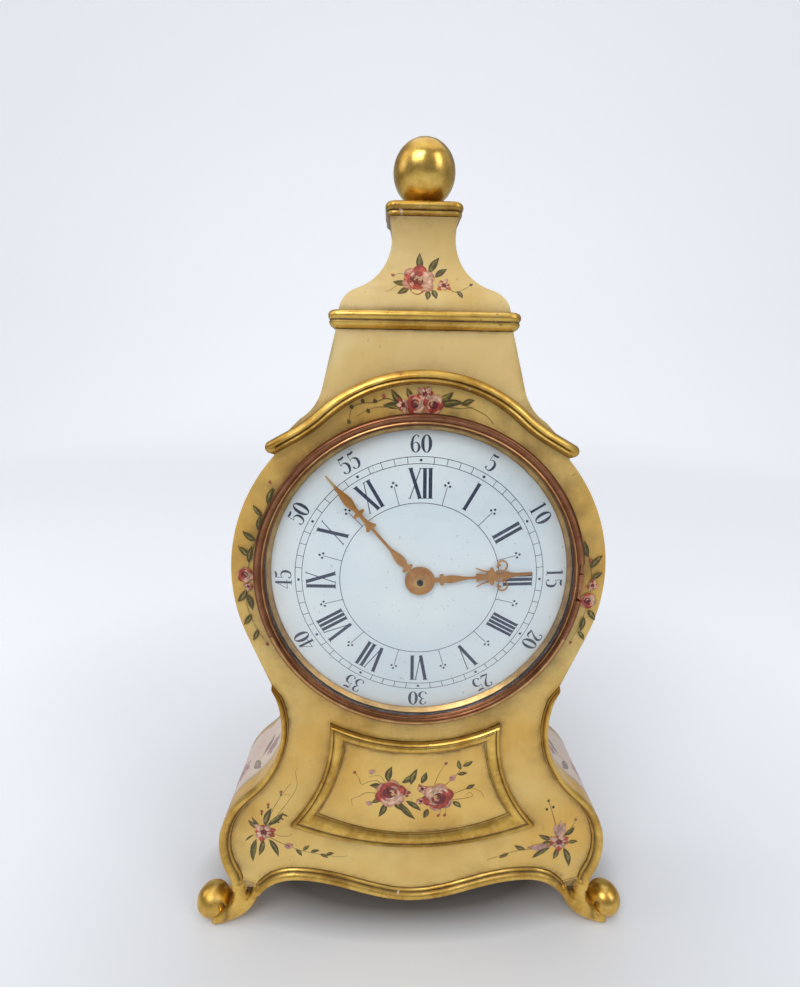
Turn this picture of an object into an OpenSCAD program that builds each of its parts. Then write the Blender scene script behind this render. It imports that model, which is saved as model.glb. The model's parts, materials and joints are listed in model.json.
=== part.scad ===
// Waisted wooden table clock with a round enamelled dial, gilt mouldings and scroll feet.
// Local frame of the modules: origin at the dial's centre on the face of the front board,
// x to the viewer's right, y away from the viewer, z up. place() moves it to the stand's centre.

/* [Case] */
// Radius of the round head, seen from the front
head_r = 75.2; // [70:0.2:80]
// Sideways offset of the head's arc centre
head_off = 3; // [0:0.5:6]
// Half width at the waist
waist_half = 60; // [50:0.2:64]
// Radius of the hollow of the waist
waist_r = 48.6; // [36:0.2:56]
// Half width at the hips
hip_half = 92.2; // [82:0.2:100]
// Radius of the hips
hip_r = 39.8; // [34:0.2:44]
// Straight length between head and waist arcs
head_flat = 27.3; // [20:0.1:32]
// Straight length between waist and hip arcs
hip_flat = 1; // [0:0.5:8]
// Height of the hips' centre over the table
hip_h = 46.2; // [44:0.1:56]
// Depth of the case behind the front board
case_d = 40; // [32:1:60]
// Thickness of the front board
board_t = 8; // [6:0.5:10]
// Thickness of the side panels
side_t = 7; // [5:0.5:9]
// Thickness of the back board
back_t = 4.7; // [4:0.1:6]
// Thickness of the bottom board
floor_t = 6; // [4:0.5:8]

/* [Crown] */
// Radius of the arched moulding's centre line
brow_r = 58.25; // [52:0.25:62]
// Half angle of that arch
brow_half_a = 42; // [38:1:46]
// Width of the arched moulding
brow_w = 5.5; // [4:0.1:7]
// How far the arched moulding stands out
brow_proud = 4; // [3:0.1:6]
// Height of the arch's top centre line over the dial centre
brow_top = 81.85; // [80:0.05:88]
// Height of the lower crown's top over the dial centre
crown_top = 99.3; // [96:0.1:106]
// Half width of the lower crown at its top
crown_half = 34.3; // [30:0.1:38]
// Lean of the lower crown's sides, in degrees
crown_lean = 12.65; // [8:0.05:18]
// Wall of the hollow lower crown
crown_wall = 5; // [3:0.5:7]
// Height of the moulding between the crown's two parts
mid_h = 7.3; // [5:0.1:9]
// Height of the upper roof
roof_h = 38.4; // [34:0.1:46]
// Half width of the roof at its foot
roof_half = 33.4; // [30:0.1:36]
// Height of the cap
cap_h = 6; // [4:0.1:8]
// Radius of the ball
ball_r = 12.9; // [9:0.1:15]

/* [Base] */
// Radius of each foot's knob
knob_r = 8.1; // [7:0.1:10]
// Thickness of each foot
foot_t = 16; // [12:0.5:18]
// Height of the gilt band along the apron
apron_w = 6; // [3:0.1:7]
// Width of the edge moulding at the hips
edge_w = 4.5; // [3:0.1:6]
// How far the edge and apron mouldings stand out
edge_proud = 3; // [2:0.1:3.4]
// Width of the cartouche's frame
frame_w = 5.6; // [4:0.1:7]
// How far the cartouche's frame stands out
frame_proud = 2.6; // [1.5:0.1:4]

/* [Dial] */
// Radius of the dial plate
dial_r = 66; // [60:0.1:67]
// Thickness of the dial plate
dial_t = 1.2; // [0.8:0.1:1.6]
// Radius of the circle of five-minute dots
dot_r = 50; // [45:0.5:53]
// Radius of the dial's dome
dome_r = 700; // [500:10:1200]
// Radial width of the bezel ring
ring_w = 4.4; // [3.5:0.1:6]
// Thickness of the glass
glass_t = 1.5; // [1:0.1:2]
// Rise of the domed glass
glass_rise = 7; // [5:0.1:9]

/* [Hands] */
// Length of the minute hand
minute_len = 56.9; // [50:0.1:58]
// Length of the hour hand
hour_len = 46.6; // [38:0.1:48]
// Direction of the minute hand, in degrees clockwise from the top
minute_a = -40.3; // [-180:0.1:180]
// Direction of the hour hand, in degrees clockwise from the top
hour_a = 85.8; // [-180:0.1:180]
// Thickness of the hands
hand_t = 0.4; // [0.3:0.1:0.5]

/* [Movement] */
// Side of the square movement
mov_w = 56; // [55:0.5:60]
// Thickness of the movement
mov_t = 16; // [16:0.1:18]
// Wall of the movement's shells
shell_t = 1.2; // [0.8:0.1:1.4]
// Module of the main gears
gear_m = 0.35; // [0.33:0.01:0.36]

/* [Back door] */
// Half width of the door opening
door_half = 38; // [30:1:42]
// Top of the door opening over the dial centre
door_top = 44; // [36:1:48]
// Bottom of the door opening under the dial centre
door_bottom = 95; // [80:1:105]
// Thickness of the door
door_t = 4; // [3:0.1:4.4]

/* [Fits] */
// Gap round the door and between fixed pieces
fit = 0.3; // [0.2:0.05:0.5]
// Running clearance of shafts and pins, on the radius
run = 0.05; // [0.02:0.01:0.08]

/* [Hidden] */
$fn = 96;

// Centres of the outline's arcs, in x and z
head_c = [head_off, 0];
waist_c = [waist_half + waist_r,
    -sqrt(pow(head_r + waist_r, 2) + pow(head_flat, 2) - pow(waist_half + waist_r - head_off, 2))];
hip_c = [hip_half - hip_r,
    waist_c[1] - sqrt(pow(waist_r + hip_r, 2) + pow(hip_flat, 2)
        - pow(waist_c[0] - hip_half + hip_r, 2))];
// Directions in which neighbouring arcs meet their common tangents
head_end_a = turn(waist_c - head_c) + acos((head_r + waist_r) / norm(waist_c - head_c));
waist_end_a = turn(hip_c - waist_c) + 360 - acos((waist_r + hip_r) / norm(hip_c - waist_c));
hip_end_a = -25;
back_y = board_t + case_d;
table_z = hip_c[1] - hip_h;

// The arch over the dial: convex arc, short hollow arc and a straight end
brow_c = [0, brow_top - brow_r];
brow_side_r = 60;
brow_side_c = brow_c + (brow_r + brow_side_r) * dir(90 - brow_half_a);
brow_turn = 13;
brow_low = brow_side_c + brow_side_r * dir(270 - brow_half_a + brow_turn);
brow_tip = brow_low + 11.55 * dir(brow_turn - brow_half_a);
side_top = brow_tip[1] - 2.6;
side_top_a = asin(side_top / head_r);

// Lower crown: leaning side, then a hollow arc down to the arch
cove_r = 18;
cove_top = [crown_half + (crown_top - 77) * tan(crown_lean), 77];
cove_c = cove_top + cove_r * dir(crown_lean);

// Upper roof: convex foot and hollow neck
roof_z = crown_top + mid_h;
roof_foot_r = 12;
roof_neck_r = 25;
roof_foot_c = [roof_half - 11.9, roof_z - 1.9];
roof_meet_a = 63.4;
roof_neck_c = roof_foot_c + (roof_foot_r + roof_neck_r) * dir(roof_meet_a);
cap_z = roof_z + roof_h;
ball_z = cap_z + cap_h + ball_r;
ball_y = back_y - 10.5;

// Apron, feet and floor board
apron_x = 57;
apron_mid = hip_c[1] - 25.2;
apron_wave = 6.3;
ogee_c = [apron_x, apron_mid + apron_wave - 20];
ogee_r = 20;
ogee_end_a = 50;
joint_in = ogee_c + ogee_r * dir(ogee_end_a);
joint_out = hip_c + hip_r * dir(hip_end_a);
under_r = 25;
under_c = [hip_half + 6.2, table_z + under_r];
foot_knob = [hip_half + 7, table_z + knob_r - 0.35];
foot_y = -edge_proud;
rear_foot_y = back_y - foot_t + 1;
floor_z = hip_c[1] - 17.9;
floor_half = hip_c[0] + (hip_r - side_t) * cos(hip_end_a) - fit;
block_gap = 0.05;
frame_top_r = 79.9;

// Dial group
dial_apex = -dot_r * dot_r / (2 * dome_r);
hole_r = dial_r + 0.5;
ledge_y = (dial_r * dial_r - dot_r * dot_r) / (2 * dome_r) + dial_t + fit;
ledge_r = dial_r - 6;
ring_in = dial_r - 2.1;
ring_out = ring_in + ring_w;
ring_back = -0.2;
lip_back = -3.3;
glass_r = ring_in + 1.1;
glass_apex = lip_back + 0.3 - glass_rise;
glass_curve = glass_r * glass_r / (2 * glass_rise);
hinge_x = ring_out - 1.4;
hinge_y = -2;
hinge_r = 1;
hinge_half = 8;
knuckle_half = 3.4;
hinge_screw_x = hinge_x - 3.6;
hinge_screw_r = 0.9;
hinge_screw_z = [-5, 5];

// Back door group
door_pin_y = back_y + 1.5;
door_pin_r = 0.6;
door_knuckle_r = 1.3;
door_pin_x = door_half - fit;
door_hinge_z = [door_top - 24, 24 - door_bottom];
leaf_t = 0.8;
button_x = -door_half - 4.5;
button_z = (door_top - door_bottom) / 2;
button_screw_r = 1.1;
rear_reach = door_pin_y + door_knuckle_r;
dial_y = -(rear_reach + glass_apex) / 2;
dial_h = -table_z;

// Movement group
mov_y = 0.7;
in_y = mov_y + shell_t;
split_y = mov_y + 8.6;
mov_back = mov_y + mov_t;
bush_r = 3.95;
pipe_r = 2.5;
arbor_r = 1.2;
pivot_r = 0.4;
wheel_t = 0.6;
battery_r = 7.1;
battery_l = 50;
battery_z = battery_r + 1.5 - mov_w / 2;
hub_y = dial_apex - 1;
hour_off = 1.6;
minute_off = 2.5;

// One side of each hand's outline: half width and distance from the centre
minute_side = [[0.8, 4.1], [0.6, 7.4], [2.2, 7.4], [2.2, 8.5], [0.7, 8.5], [1.3, 10], [1.7, 12],
    [1.3, 14.5], [0.6, 17.5], [0.5, 24.6], [2.6, 24.2], [1.1, 26.6], [0.7, 28.3], [3, 28.3],
    [3, 29.5], [0.8, 29.5], [1.3, 31.5], [2.3, 35], [2, 38.5], [1, 42], [0.6, 48],
    [0.25, minute_len]];
hour_side = [[0.9, 5.5], [0.8, 7.6], [2.5, 7.6], [2.5, 8.8], [0.8, 8.8], [1.5, 11], [1.7, 13],
    [1.2, 16], [0.6, 19], [0.6, 23], [1.7, 23.5], [1.2, 26], [1.6, 27.5], [2.6, 29], [1.6, 30.5],
    [3, 31], [5, 32.2], [5.6, 34], [4.6, 35.8], [3, 35.6], [2, 34.6], [1.9, 37], [1.1, 40],
    [0.5, 43.5], [0.3, hour_len]];

// Places of the arbors and the phase of each wheel's teeth, from the wheel before it
cannon_n = 10;
inter_n = 30;
inter_pin_n = 8;
hour_n = 32;
centre_n = 60;
pinion_n = 8;
third_n = 64;
seconds_n = 32;
fifth_n = 60;
fine_m = gear_m - 0.1;
pivot_y = in_y + 0.05;
pivot_end = mov_back - shell_t - 0.05;
hour_lay = in_y + 0.8;
inter_lay = in_y + 2.6;
centre_lay = in_y + 4.4;
third_lay = in_y + 6.6;
seconds_lay = in_y + 8.6;
fifth_lay = in_y + 10.4;
inter_a = -20;
knob_a = -10;
third_a = 135;
seconds_a = 20;
fifth_a = 10;
rotor_a = -60;
inter_p = gear_m * (cannon_n + inter_n) / 2 * dir(inter_a);
knob_p = inter_p + gear_m * (cannon_n + inter_n) / 2 * dir(knob_a);
third_p = gear_m * (centre_n + pinion_n) / 2 * dir(third_a);
seconds_p = third_p + gear_m * (third_n + pinion_n) / 2 * dir(seconds_a);
fifth_p = seconds_p + gear_m * (seconds_n + pinion_n) / 2 * dir(fifth_a);
rotor_p = fifth_p + fine_m * (fifth_n + pinion_n) / 2 * dir(rotor_a);
inter_ph = mate(0, cannon_n, inter_n, inter_a);
inter_pin_ph = 0;
hour_ph = mate(inter_pin_ph, inter_pin_n, hour_n, inter_a + 180);
knob_ph = mate(inter_ph, inter_n, cannon_n, knob_a);
third_pin_ph = mate(0, centre_n, pinion_n, third_a);
seconds_pin_ph = mate(0, third_n, pinion_n, seconds_a);
fifth_pin_ph = mate(0, seconds_n, pinion_n, fifth_a);
rotor_ph = mate(0, fifth_n, pinion_n, rotor_a);

function dir(a) = [cos(a), sin(a)];
function turn(v) = atan2(v[1], v[0]);
function flip(pts) = [for (i = [len(pts) - 1:-1:0]) [-pts[i][0], pts[i][1]]];
function reverse(pts) = [for (i = [len(pts) - 1:-1:0]) pts[i]];
function arc(c, r, a0, a1, n = 16) = [for (i = [0:n]) c + r * dir(a0 + (a1 - a0) * i / n)];
// Points of a shallow bow from p to q that bulges by sag to the left of that direction
function bow(p, q, sag, n = 12) = let (d = (q - p) / norm(q - p))
    [for (i = [0:n]) let (s = i / n) p + (q - p) * s + 4 * sag * s * (1 - s) * [-d[1], d[0]]];
// Phase of a wheel with nb teeth that meets one with na teeth and phase a in direction th
function mate(a, na, nb, th) = th + 180 + 360 / nb * (0.5 - (a - th) * na / 360);

// Right half of the case's outline, set in by t, from the top of the side down to the foot
function side_path(t, top_a = side_top_a) = concat(
    arc(head_c, head_r - t, top_a, head_end_a, 28),
    arc(waist_c, waist_r + t, head_end_a + 180, waist_end_a, 20),
    arc(hip_c, hip_r - t, waist_end_a - 180, hip_end_a, 20));
// Right half of the arch's centre line, from the middle to the tip
function brow_path() = concat(
    arc(brow_c, brow_r, 90, 90 - brow_half_a, 16),
    arc(brow_side_c, brow_side_r, 270 - brow_half_a, 270 - brow_half_a + brow_turn, 4),
    [brow_tip]);
// Lower edge of the apron, from the right joint with the foot to the left one, raised by w
function apron_path(w) = concat(
    arc(ogee_c, ogee_r + w, ogee_end_a, 90, 8),
    [for (i = [1:23]) let (x = apron_x * (1 - i / 12))
        [x, apron_mid - apron_wave * cos(180 * x / apron_x) + w]],
    [for (p = arc([-ogee_c[0], ogee_c[1]], ogee_r + w, 90, 180 - ogee_end_a, 8)) p]);
// Half width of the roof at each height, foot to neck
function roof_path() = concat(
    arc(roof_foot_c, roof_foot_r, asin(1.9 / roof_foot_r), roof_meet_a, 12),
    arc(roof_neck_c, roof_neck_r, roof_meet_a + 180,
        180 - asin((cap_z - roof_neck_c[1]) / roof_neck_r), 16));

module place() translate([0, dial_y, dial_h]) children();
// Extrudes an outline drawn in x and z from y0 back to y1
module slab(y0, y1) translate([0, y1, 0]) rotate([90, 0, 0]) linear_extrude(y1 - y0) children();
// Extrudes an outline drawn in y and z over the half width w to both sides
module across(w) translate([-w, 0, 0]) rotate([90, 0, 90]) linear_extrude(2 * w) children();
// Turns a profile, drawn in radius and distance to the front, about an axis along y at c
module turned(c = [0, 0], a0 = 0, a1 = 360) translate([c[0], 0, c[1]]) rotate([90, 0, 0])
    rotate([0, 0, a0]) rotate_extrude(angle = a1 - a0) children();
// Round bar along y
module bar_y(p, r, y0, y1) translate([p[0], y0, p[1]]) rotate([-90, 0, 0])
    cylinder(r = r, h = y1 - y0);
// Round bar along z
module bar_z(x, y, r, z0, z1) translate([x, y, z0]) cylinder(r = r, h = z1 - z0);
module block(x0, x1, y0, y1, z0, z1) translate([x0, y0, z0]) cube([x1 - x0, y1 - y0, z1 - z0]);
module both_sides() {
    children();
    mirror([1, 0, 0]) children();
}
// Domed disc or ring between two radii, whose front follows the curve from its apex
module domed(r0, r1, apex, curve, t) turned()
    polygon(concat([for (i = [0:16]) let (r = r0 + (r1 - r0) * i / 16) [r, -apex - r * r / (2 * curve)]],
        [for (i = [16:-1:0]) let (r = r0 + (r1 - r0) * i / 16) [r, -apex - r * r / (2 * curve) - t]]));
// Spur wheel round p from y0 over thickness t, with n teeth and its first tooth at phase
module gear(m, n, p, phase, y0, t, bore) {
    pitch = m * n / 2;
    step = 360 / n;
    difference() {
        slab(y0, y0 + t) translate(p) rotate(phase)
            polygon([for (i = [0:n - 1]) each [
                (pitch - 1.2 * m) * dir(step * (i - 0.22)),
                (pitch + 0.6 * m) * dir(step * (i - 0.08)),
                (pitch + 0.6 * m) * dir(step * (i + 0.08)),
                (pitch - 1.2 * m) * dir(step * (i + 0.22))]]);
        if (bore > 0) bar_y(p, bore, y0 - 1, y0 + t + 1);
    }
}
// Flat slab with a round nose at the front and both sides
module nosed_slab(half, front, z0, h) {
    r = h / 2;
    nose = arc([0, 0], r, -90, 90, 16);
    block(-half, half, front, back_y, z0, z0 + h);
    translate([-half, front, z0 + r]) rotate([90, 0, 90]) linear_extrude(2 * half)
        polygon([for (p = nose) [-p[0], p[1]]]);
    both_sides() {
        translate([half, back_y, z0 + r]) rotate([90, 0, 0]) linear_extrude(back_y - front)
            polygon(nose);
        translate([half, front, z0 + r]) rotate([0, 0, -90]) rotate_extrude(angle = 90)
            polygon(nose);
    }
}
module front_board() color("khaki") difference() {
    slab(0, board_t) polygon(concat(brow_path(), side_path(0), apron_path(0),
        flip(side_path(0)), flip(brow_path())));
    both_sides() bar_y(brow_tip, return_r + 0.05, -1, board_t + 1);
    bar_y([0, 0], ledge_r, -1, board_t + 1);
    bar_y([0, 0], hole_r, -1, ledge_y);
    // Room for the edge of the ring as it swings, and the slot of the hinge's leaf
    block(hinge_x - 1, ring_out + 0.2, -1, 0.6, -hinge_half - 6.5, hinge_half + 6.5);
    block(hinge_x - 0.9, hinge_x + 0.4, 0, board_t + 1, -hinge_half - 0.15, hinge_half + 0.15);
    for (z = hinge_screw_z) bar_y([hinge_screw_x, z], hinge_screw_r, board_t - 5, board_t + 1);
}
module side_panel() slab(board_t, back_y) polygon(concat(side_path(0), reverse(side_path(side_t))));
module side_right() color("antiquewhite") side_panel();
module side_left() color("antiquewhite") mirror([1, 0, 0]) side_panel();
module back_outline(t) polygon(concat(
    [for (p = brow_path()) if (p[0] < brow_low[0] + 0.01) p],
    side_path(side_t + t), [[hip_c[0] + 10, floor_z]], [[-hip_c[0] - 10, floor_z]],
    flip(side_path(side_t + t)), [for (p = flip(brow_path())) if (-p[0] < brow_low[0] + 0.01) p]));
module back_board() color("peru") difference() {
    slab(back_y - back_t, back_y) back_outline(0.1);
    block(-door_half, door_half, back_y - back_t - 1, back_y + 1, -door_bottom, door_top);
    bar_y([button_x, button_z], button_screw_r, back_y - back_t - 1, back_y + 1);
}
module bottom_board() color("peru")
    block(-floor_half, floor_half, board_t, back_y - back_t, floor_z, floor_z + floor_t);
module corner_blocks() color("burlywood") both_sides()
    for (y = [board_t, back_y - foot_t]) slab(y, y + foot_t - 1)
        polygon([joint_in + [0, block_gap], joint_in + (joint_out - joint_in) * (floor_z - block_gap
            - joint_in[1]) / (joint_out[1] - joint_in[1]) + [0, block_gap], [joint_in[0], floor_z]]);

module crown_half_solid(t, y0, y1) slab(y0, y1) polygon(concat(
    [[0, t > 0 ? crown_top - t : crown_top], [crown_half - t, t > 0 ? crown_top - t : crown_top]],
    arc(cove_c, cove_r + t, 180 + crown_lean, 240, 12),
    t > 0 ? [[brow_low[0] - t, brow_low[1] - 9], [0, brow_low[1] - 9]] : reverse(brow_path())));
module crown_lower() color("khaki") difference() {
    intersection() {
        both_sides() crown_half_solid(0, 0, back_y);
        across(brow_tip[0] + 1) polygon([[0, 0], [0, 72], [1.5, 77],
            [cove_top[0] + 1.5 - crown_half, crown_top + 1], [back_y, crown_top + 1], [back_y, 0]]);
    }
    both_sides() crown_half_solid(crown_wall, board_t + 4, back_y - crown_wall);
    both_sides() bar_y(brow_tip, return_r + 0.05, -9, back_y + 1);
}
module mid_moulding() color("goldenrod") nosed_slab(crown_half - 0.45, 7.7, crown_top, mid_h);
module crown_roof() color("khaki") intersection() {
    slab(0, back_y) polygon(concat(roof_path(), flip(roof_path())));
    across(roof_half + 1) polygon(concat([for (p = roof_path()) [8 + roof_half - p[0], p[1]]],
        [[back_y, cap_z], [back_y, roof_z]]));
}
module crown_cap() color("goldenrod") nosed_slab(13, back_y - 19, cap_z, cap_h);
module finial_ball() color("gold") {
    translate([0, ball_y, ball_z]) sphere(r = ball_r);
    bar_z(0, ball_y, 5, ball_z - ball_r, ball_z - ball_r + 4);
}
return_r = brow_w / 2 + 0.1;
brow_profile = concat([[-brow_w / 2, 0]],
    arc([0, brow_proud - brow_w / 2], brow_w / 2, 180, 0, 16), [[brow_w / 2, 0]]);
module eyebrow_moulding() color("goldenrod") {
    turned(brow_c, 89.9 - brow_half_a, 90.1 + brow_half_a)
        polygon([for (p = brow_profile) [p[0] + brow_r, p[1]]]);
    both_sides() {
        turned(brow_side_c, 270 - brow_half_a, 270 - brow_half_a + brow_turn)
            polygon([for (p = brow_profile) [p[0] + brow_side_r, p[1]]]);
        translate([brow_low[0], 0, brow_low[1]]) rotate([0, brow_half_a - brow_turn, 0])
            rotate([90, 0, 90]) linear_extrude(norm(brow_tip - brow_low))
            polygon([for (p = brow_profile) [-p[1], p[0]]]);
        turned(brow_tip) polygon(concat([[0, -back_y], [return_r, -back_y]],
            arc([0, brow_proud - brow_w / 2], return_r, 0, 90, 12)));
    }
}
// Edge moulding: grows from a point under the head to its full width at the foot
module edge_moulding() slab(-edge_proud, 0) {
    waist = arc(waist_c, waist_r, head_end_a + 180, waist_end_a, 16);
    hip = arc(hip_c, hip_r, waist_end_a - 180, hip_end_a, 16);
    polygon(concat(waist, hip,
        [for (i = [16:-1:0]) let (d = hip[i] - hip_c) hip[i] - d / norm(d) * (edge_w + 1.3 * i / 16)],
        [for (i = [16:-1:0]) let (d = waist[i] - waist_c)
            waist[i] + d / norm(d) * (0.4 + (edge_w - 0.4) * i / 16)]));
}
module edge_moulding_right() color("goldenrod") edge_moulding();
module edge_moulding_left() color("goldenrod") mirror([1, 0, 0]) edge_moulding();
module apron_moulding() color("goldenrod") slab(-edge_proud, 0)
    polygon(concat(apron_path(0), reverse(apron_path(apron_w))));

// Cartouche: top edge concentric with the dial, hollow sides, bowed bottom
module cartouche(top_r, corner_x, low_half, low_z, mid_z, sag, gap) {
    top_a = acos((corner_x - gap) / (top_r + gap));
    corner = (top_r + gap) * [cos(top_a), -sin(top_a)];
    low = [low_half - gap, low_z + gap];
    side = bow(corner, low, -sag);
    polygon(concat(arc([0, 0], top_r + gap, -180 + top_a, -top_a, 20), side,
        bow(low, [-low[0], low[1]], low_z - mid_z, 20), flip(side)));
}
module cartouche_outer() cartouche(frame_top_r, 38.3, 58, hip_c[1] + 12.7, hip_c[1] + 0.6, 5.75, 0);
module cartouche_inner(gap) cartouche(frame_top_r + 6.1, 31.5, 44.4 + 5.6 - frame_w,
    hip_c[1] + 20, hip_c[1] + 8.8, 2.3, gap);
module cartouche_frame() color("goldenrod") slab(-frame_proud, 0) difference() {
    cartouche_outer();
    cartouche_inner(0);
}
module cartouche_panel() color("tan") slab(-1, 0) cartouche_inner(0.15);

// Foot: a leg that sweeps out under a round knob, drawn for the right side
module foot(y0) difference() {
    union() {
        slab(y0, y0 + foot_t) polygon(concat(
            arc(ogee_c, ogee_r, ogee_end_a, 18, 6), arc(under_c, under_r, 211, 270, 12),
            [foot_knob, joint_out + [2.6, -18.2], joint_out + [-0.5, -12.7], joint_out + [-1.1, -7.7],
            joint_out]));
        translate([foot_knob[0], y0 + foot_t / 2 - 0.2, foot_knob[1]]) sphere(r = knob_r);
    }
    block(0, hip_half + 30, -20, back_y + 20, table_z - 9, table_z);
}
module scroll_foot_right() color("goldenrod") foot(foot_y);
module scroll_foot_left() color("goldenrod") mirror([1, 0, 0]) foot(foot_y);
module rear_foot_right() color("goldenrod") foot(rear_foot_y);
module rear_foot_left() color("goldenrod") mirror([1, 0, 0]) foot(rear_foot_y);

module rehaut() color("tan") turned() polygon([[ring_in - 2.2, -0.8], [ring_in - 2.2, -0.6],
    [ring_in - 0.7, 1.1], [ring_in - 0.5, 1.1], [ring_in - 0.5, 0.1], [hole_r - 0.3, 0.1],
    [hole_r - 0.3, -0.8]]);
module dial() color("white") domed(bush_r + 0.15, dial_r, dial_apex, dome_r, dial_t);
module bezel_ring() color("sienna") difference() {
    turned() polygon(concat([[ring_out, -ring_back], [ring_out, -lip_back - 0.4]],
        arc([ring_out - 1.4, -lip_back], 1.4, 15, 90, 6),
        [[ring_in + 0.6, -lip_back + 0.6], [ring_in, -lip_back + 0.2], [ring_in, -lip_back],
        [glass_r + 0.2, -lip_back], [glass_r + 0.2, -ring_back]]));
    bar_z(hinge_x, hinge_y, hinge_r + 0.15, -hinge_half - 0.2, hinge_half + 0.2);
    block(hinge_x - 0.95, hinge_x + 0.95, hinge_y - 1.95, hinge_y,
        -knuckle_half - 0.05, knuckle_half + 0.05);
    block(hinge_x - hinge_r - 0.15, ring_out + 1, hinge_y - hinge_r - 0.15, 1,
        -hinge_half - 0.2, hinge_half + 0.2);
}
module glass() color("lightcyan", 0.4) domed(0, glass_r, glass_apex, glass_curve, glass_t);
module glass_retainer() color("silver") turned()
    polygon([[ring_in + 0.05, 0.4], [glass_r + 0.15, 0.4], [glass_r + 0.15, 1.1], [ring_in + 0.05, 1.1]]);
module bezel_hinge_leaf() color("peru") difference() {
    union() {
        bar_z(hinge_x, hinge_y, hinge_r, -knuckle_half, knuckle_half);
        block(hinge_x - 0.9, hinge_x + 0.9, hinge_y - 1.9, hinge_y - 0.5, -knuckle_half, knuckle_half);
    }
    bar_z(hinge_x, hinge_y, 0.5 + run, -9, 9);
}
module case_hinge_leaf() color("peru") difference() {
    union() {
        for (s = [-1, 1]) {
            z0 = s > 0 ? knuckle_half + 0.2 : -hinge_half;
            z1 = s > 0 ? hinge_half : -knuckle_half - 0.2;
            bar_z(hinge_x, hinge_y, hinge_r, z0, z1);
            block(hinge_x - 0.3, hinge_x + 0.3, hinge_y, 1.3, z0, z1);
        }
        block(hinge_x - 0.3, hinge_x + 0.3, 1.2, board_t + 0.4, -hinge_half, hinge_half);
        block(hinge_x - 6, hinge_x + 0.3, board_t, board_t + leaf_t, -hinge_half, hinge_half);
    }
    bar_z(hinge_x, hinge_y, 0.5, -9, 9);
    for (z = hinge_screw_z) bar_y([hinge_screw_x, z], hinge_screw_r + run, board_t - 1, board_t + 2);
}
module bezel_hinge_pin() color("silver") bar_z(hinge_x, hinge_y, 0.5, -hinge_half, hinge_half);
module screw(p, y_head, len, r) {
    bar_y(p, r, y_head - len, y_head);
    difference() {
        bar_y(p, 2 * r, y_head, y_head + r);
        block(p[0] - 2.5 * r, p[0] + 2.5 * r, y_head + r * 0.5, y_head + 2 * r, p[1] - r * 0.2, p[1] + r * 0.2);
    }
}
module hinge_screws() color("goldenrod") for (z = hinge_screw_z)
    screw([hinge_screw_x, z], board_t + leaf_t, 5, hinge_screw_r);

module back_door() color("peru") difference() {
    block(-door_half + fit, door_half - 2 * fit, back_y - door_t, back_y, -door_bottom + fit, door_top - fit);
    bar_y([-door_half + 8, button_z], 1.5, back_y - door_t - 1, back_y + 1);
}
module door_knob() color("goldenrod") {
    bar_y([-door_half + 8, button_z], 1.5, back_y - 3, back_y + 1.2);
    bar_y([-door_half + 8, button_z], 3.2, back_y + 1.2, rear_reach);
}
module door_hinge_leaves() color("goldenrod") for (z = door_hinge_z) difference() {
    union() {
        bar_z(door_pin_x, door_pin_y, door_knuckle_r, z - 4, z + 4);
        block(door_pin_x - 8.5, door_pin_x, back_y, back_y + leaf_t, z - 4, z + 4);
    }
    bar_z(door_pin_x, door_pin_y, door_pin_r + run, z - 5, z + 5);
}
module back_hinge_leaves() color("goldenrod") for (z = door_hinge_z) difference() {
    union() {
        for (s = [-8.2, 4.2]) bar_z(door_pin_x, door_pin_y, door_knuckle_r, z + s, z + s + 4);
        for (s = [-8.2, 4.2]) block(door_pin_x, door_pin_x + 4, back_y, back_y + leaf_t, z + s, z + s + 4);
        block(door_pin_x + 1.5, door_pin_x + 8.5, back_y, back_y + leaf_t, z - 8.2, z + 8.2);
    }
    bar_z(door_pin_x, door_pin_y, door_pin_r, z - 9, z + 9);
}
module door_hinge_pins() color("silver") for (z = door_hinge_z)
    bar_z(door_pin_x, door_pin_y, door_pin_r, z - 8.2, z + 8.2);
module turn_button() color("goldenrod") difference() {
    slab(back_y + 0.1, back_y + 2) union() {
        translate([button_x, button_z]) circle(r = 2.6);
        translate([button_x - 1.7, button_z]) square([3.4, 8]);
    }
    bar_y([button_x, button_z], button_screw_r + run, back_y - 1, back_y + 3);
}
module turn_button_screw() color("silver") {
    bar_y([button_x, button_z], button_screw_r, back_y - back_t, back_y + 2.1);
    bar_y([button_x, button_z], 2 * button_screw_r, back_y + 2.1, back_y + 2.8);
}
module back_screws() color("goldenrod") both_sides()
    for (p = [[waist_half - side_t - 4, waist_c[1] + 18], [hip_half - side_t - 8, hip_c[1] + 4],
        [head_r - side_t - 8, 22]]) difference() {
        bar_y(p, 2, back_y, back_y + 1);
        block(p[0] - 3, p[0] + 3, back_y + 0.5, back_y + 2, p[1] - 0.3, p[1] + 0.3);
    }

module box_shell(y0, y1) difference() {
    block(-mov_w / 2, mov_w / 2, y0, y1, -mov_w / 2, mov_w / 2);
    children();
}
module movement_front_shell() color("dimgray") box_shell(mov_y, split_y) {
    block(shell_t - mov_w / 2, mov_w / 2 - shell_t, mov_y + shell_t, split_y + 1,
        shell_t - mov_w / 2, mov_w / 2 - shell_t);
    bar_y([0, 0], bush_r + run, mov_y - 1, split_y);
}
module movement_rear_shell() color("dimgray") box_shell(split_y, mov_back) {
    block(shell_t - mov_w / 2, mov_w / 2 - shell_t, split_y - 1, mov_back - shell_t,
        shell_t - mov_w / 2, mov_w / 2 - shell_t);
    block(-battery_l / 2 - 1.5, battery_l / 2 + 1.5, split_y, mov_back + 1,
        battery_z - battery_r - 0.3, battery_z + battery_r + 0.3);
    bar_y(knob_p, 1.5 + run, mov_back - shell_t - 1, mov_back + 1);
}
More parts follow.
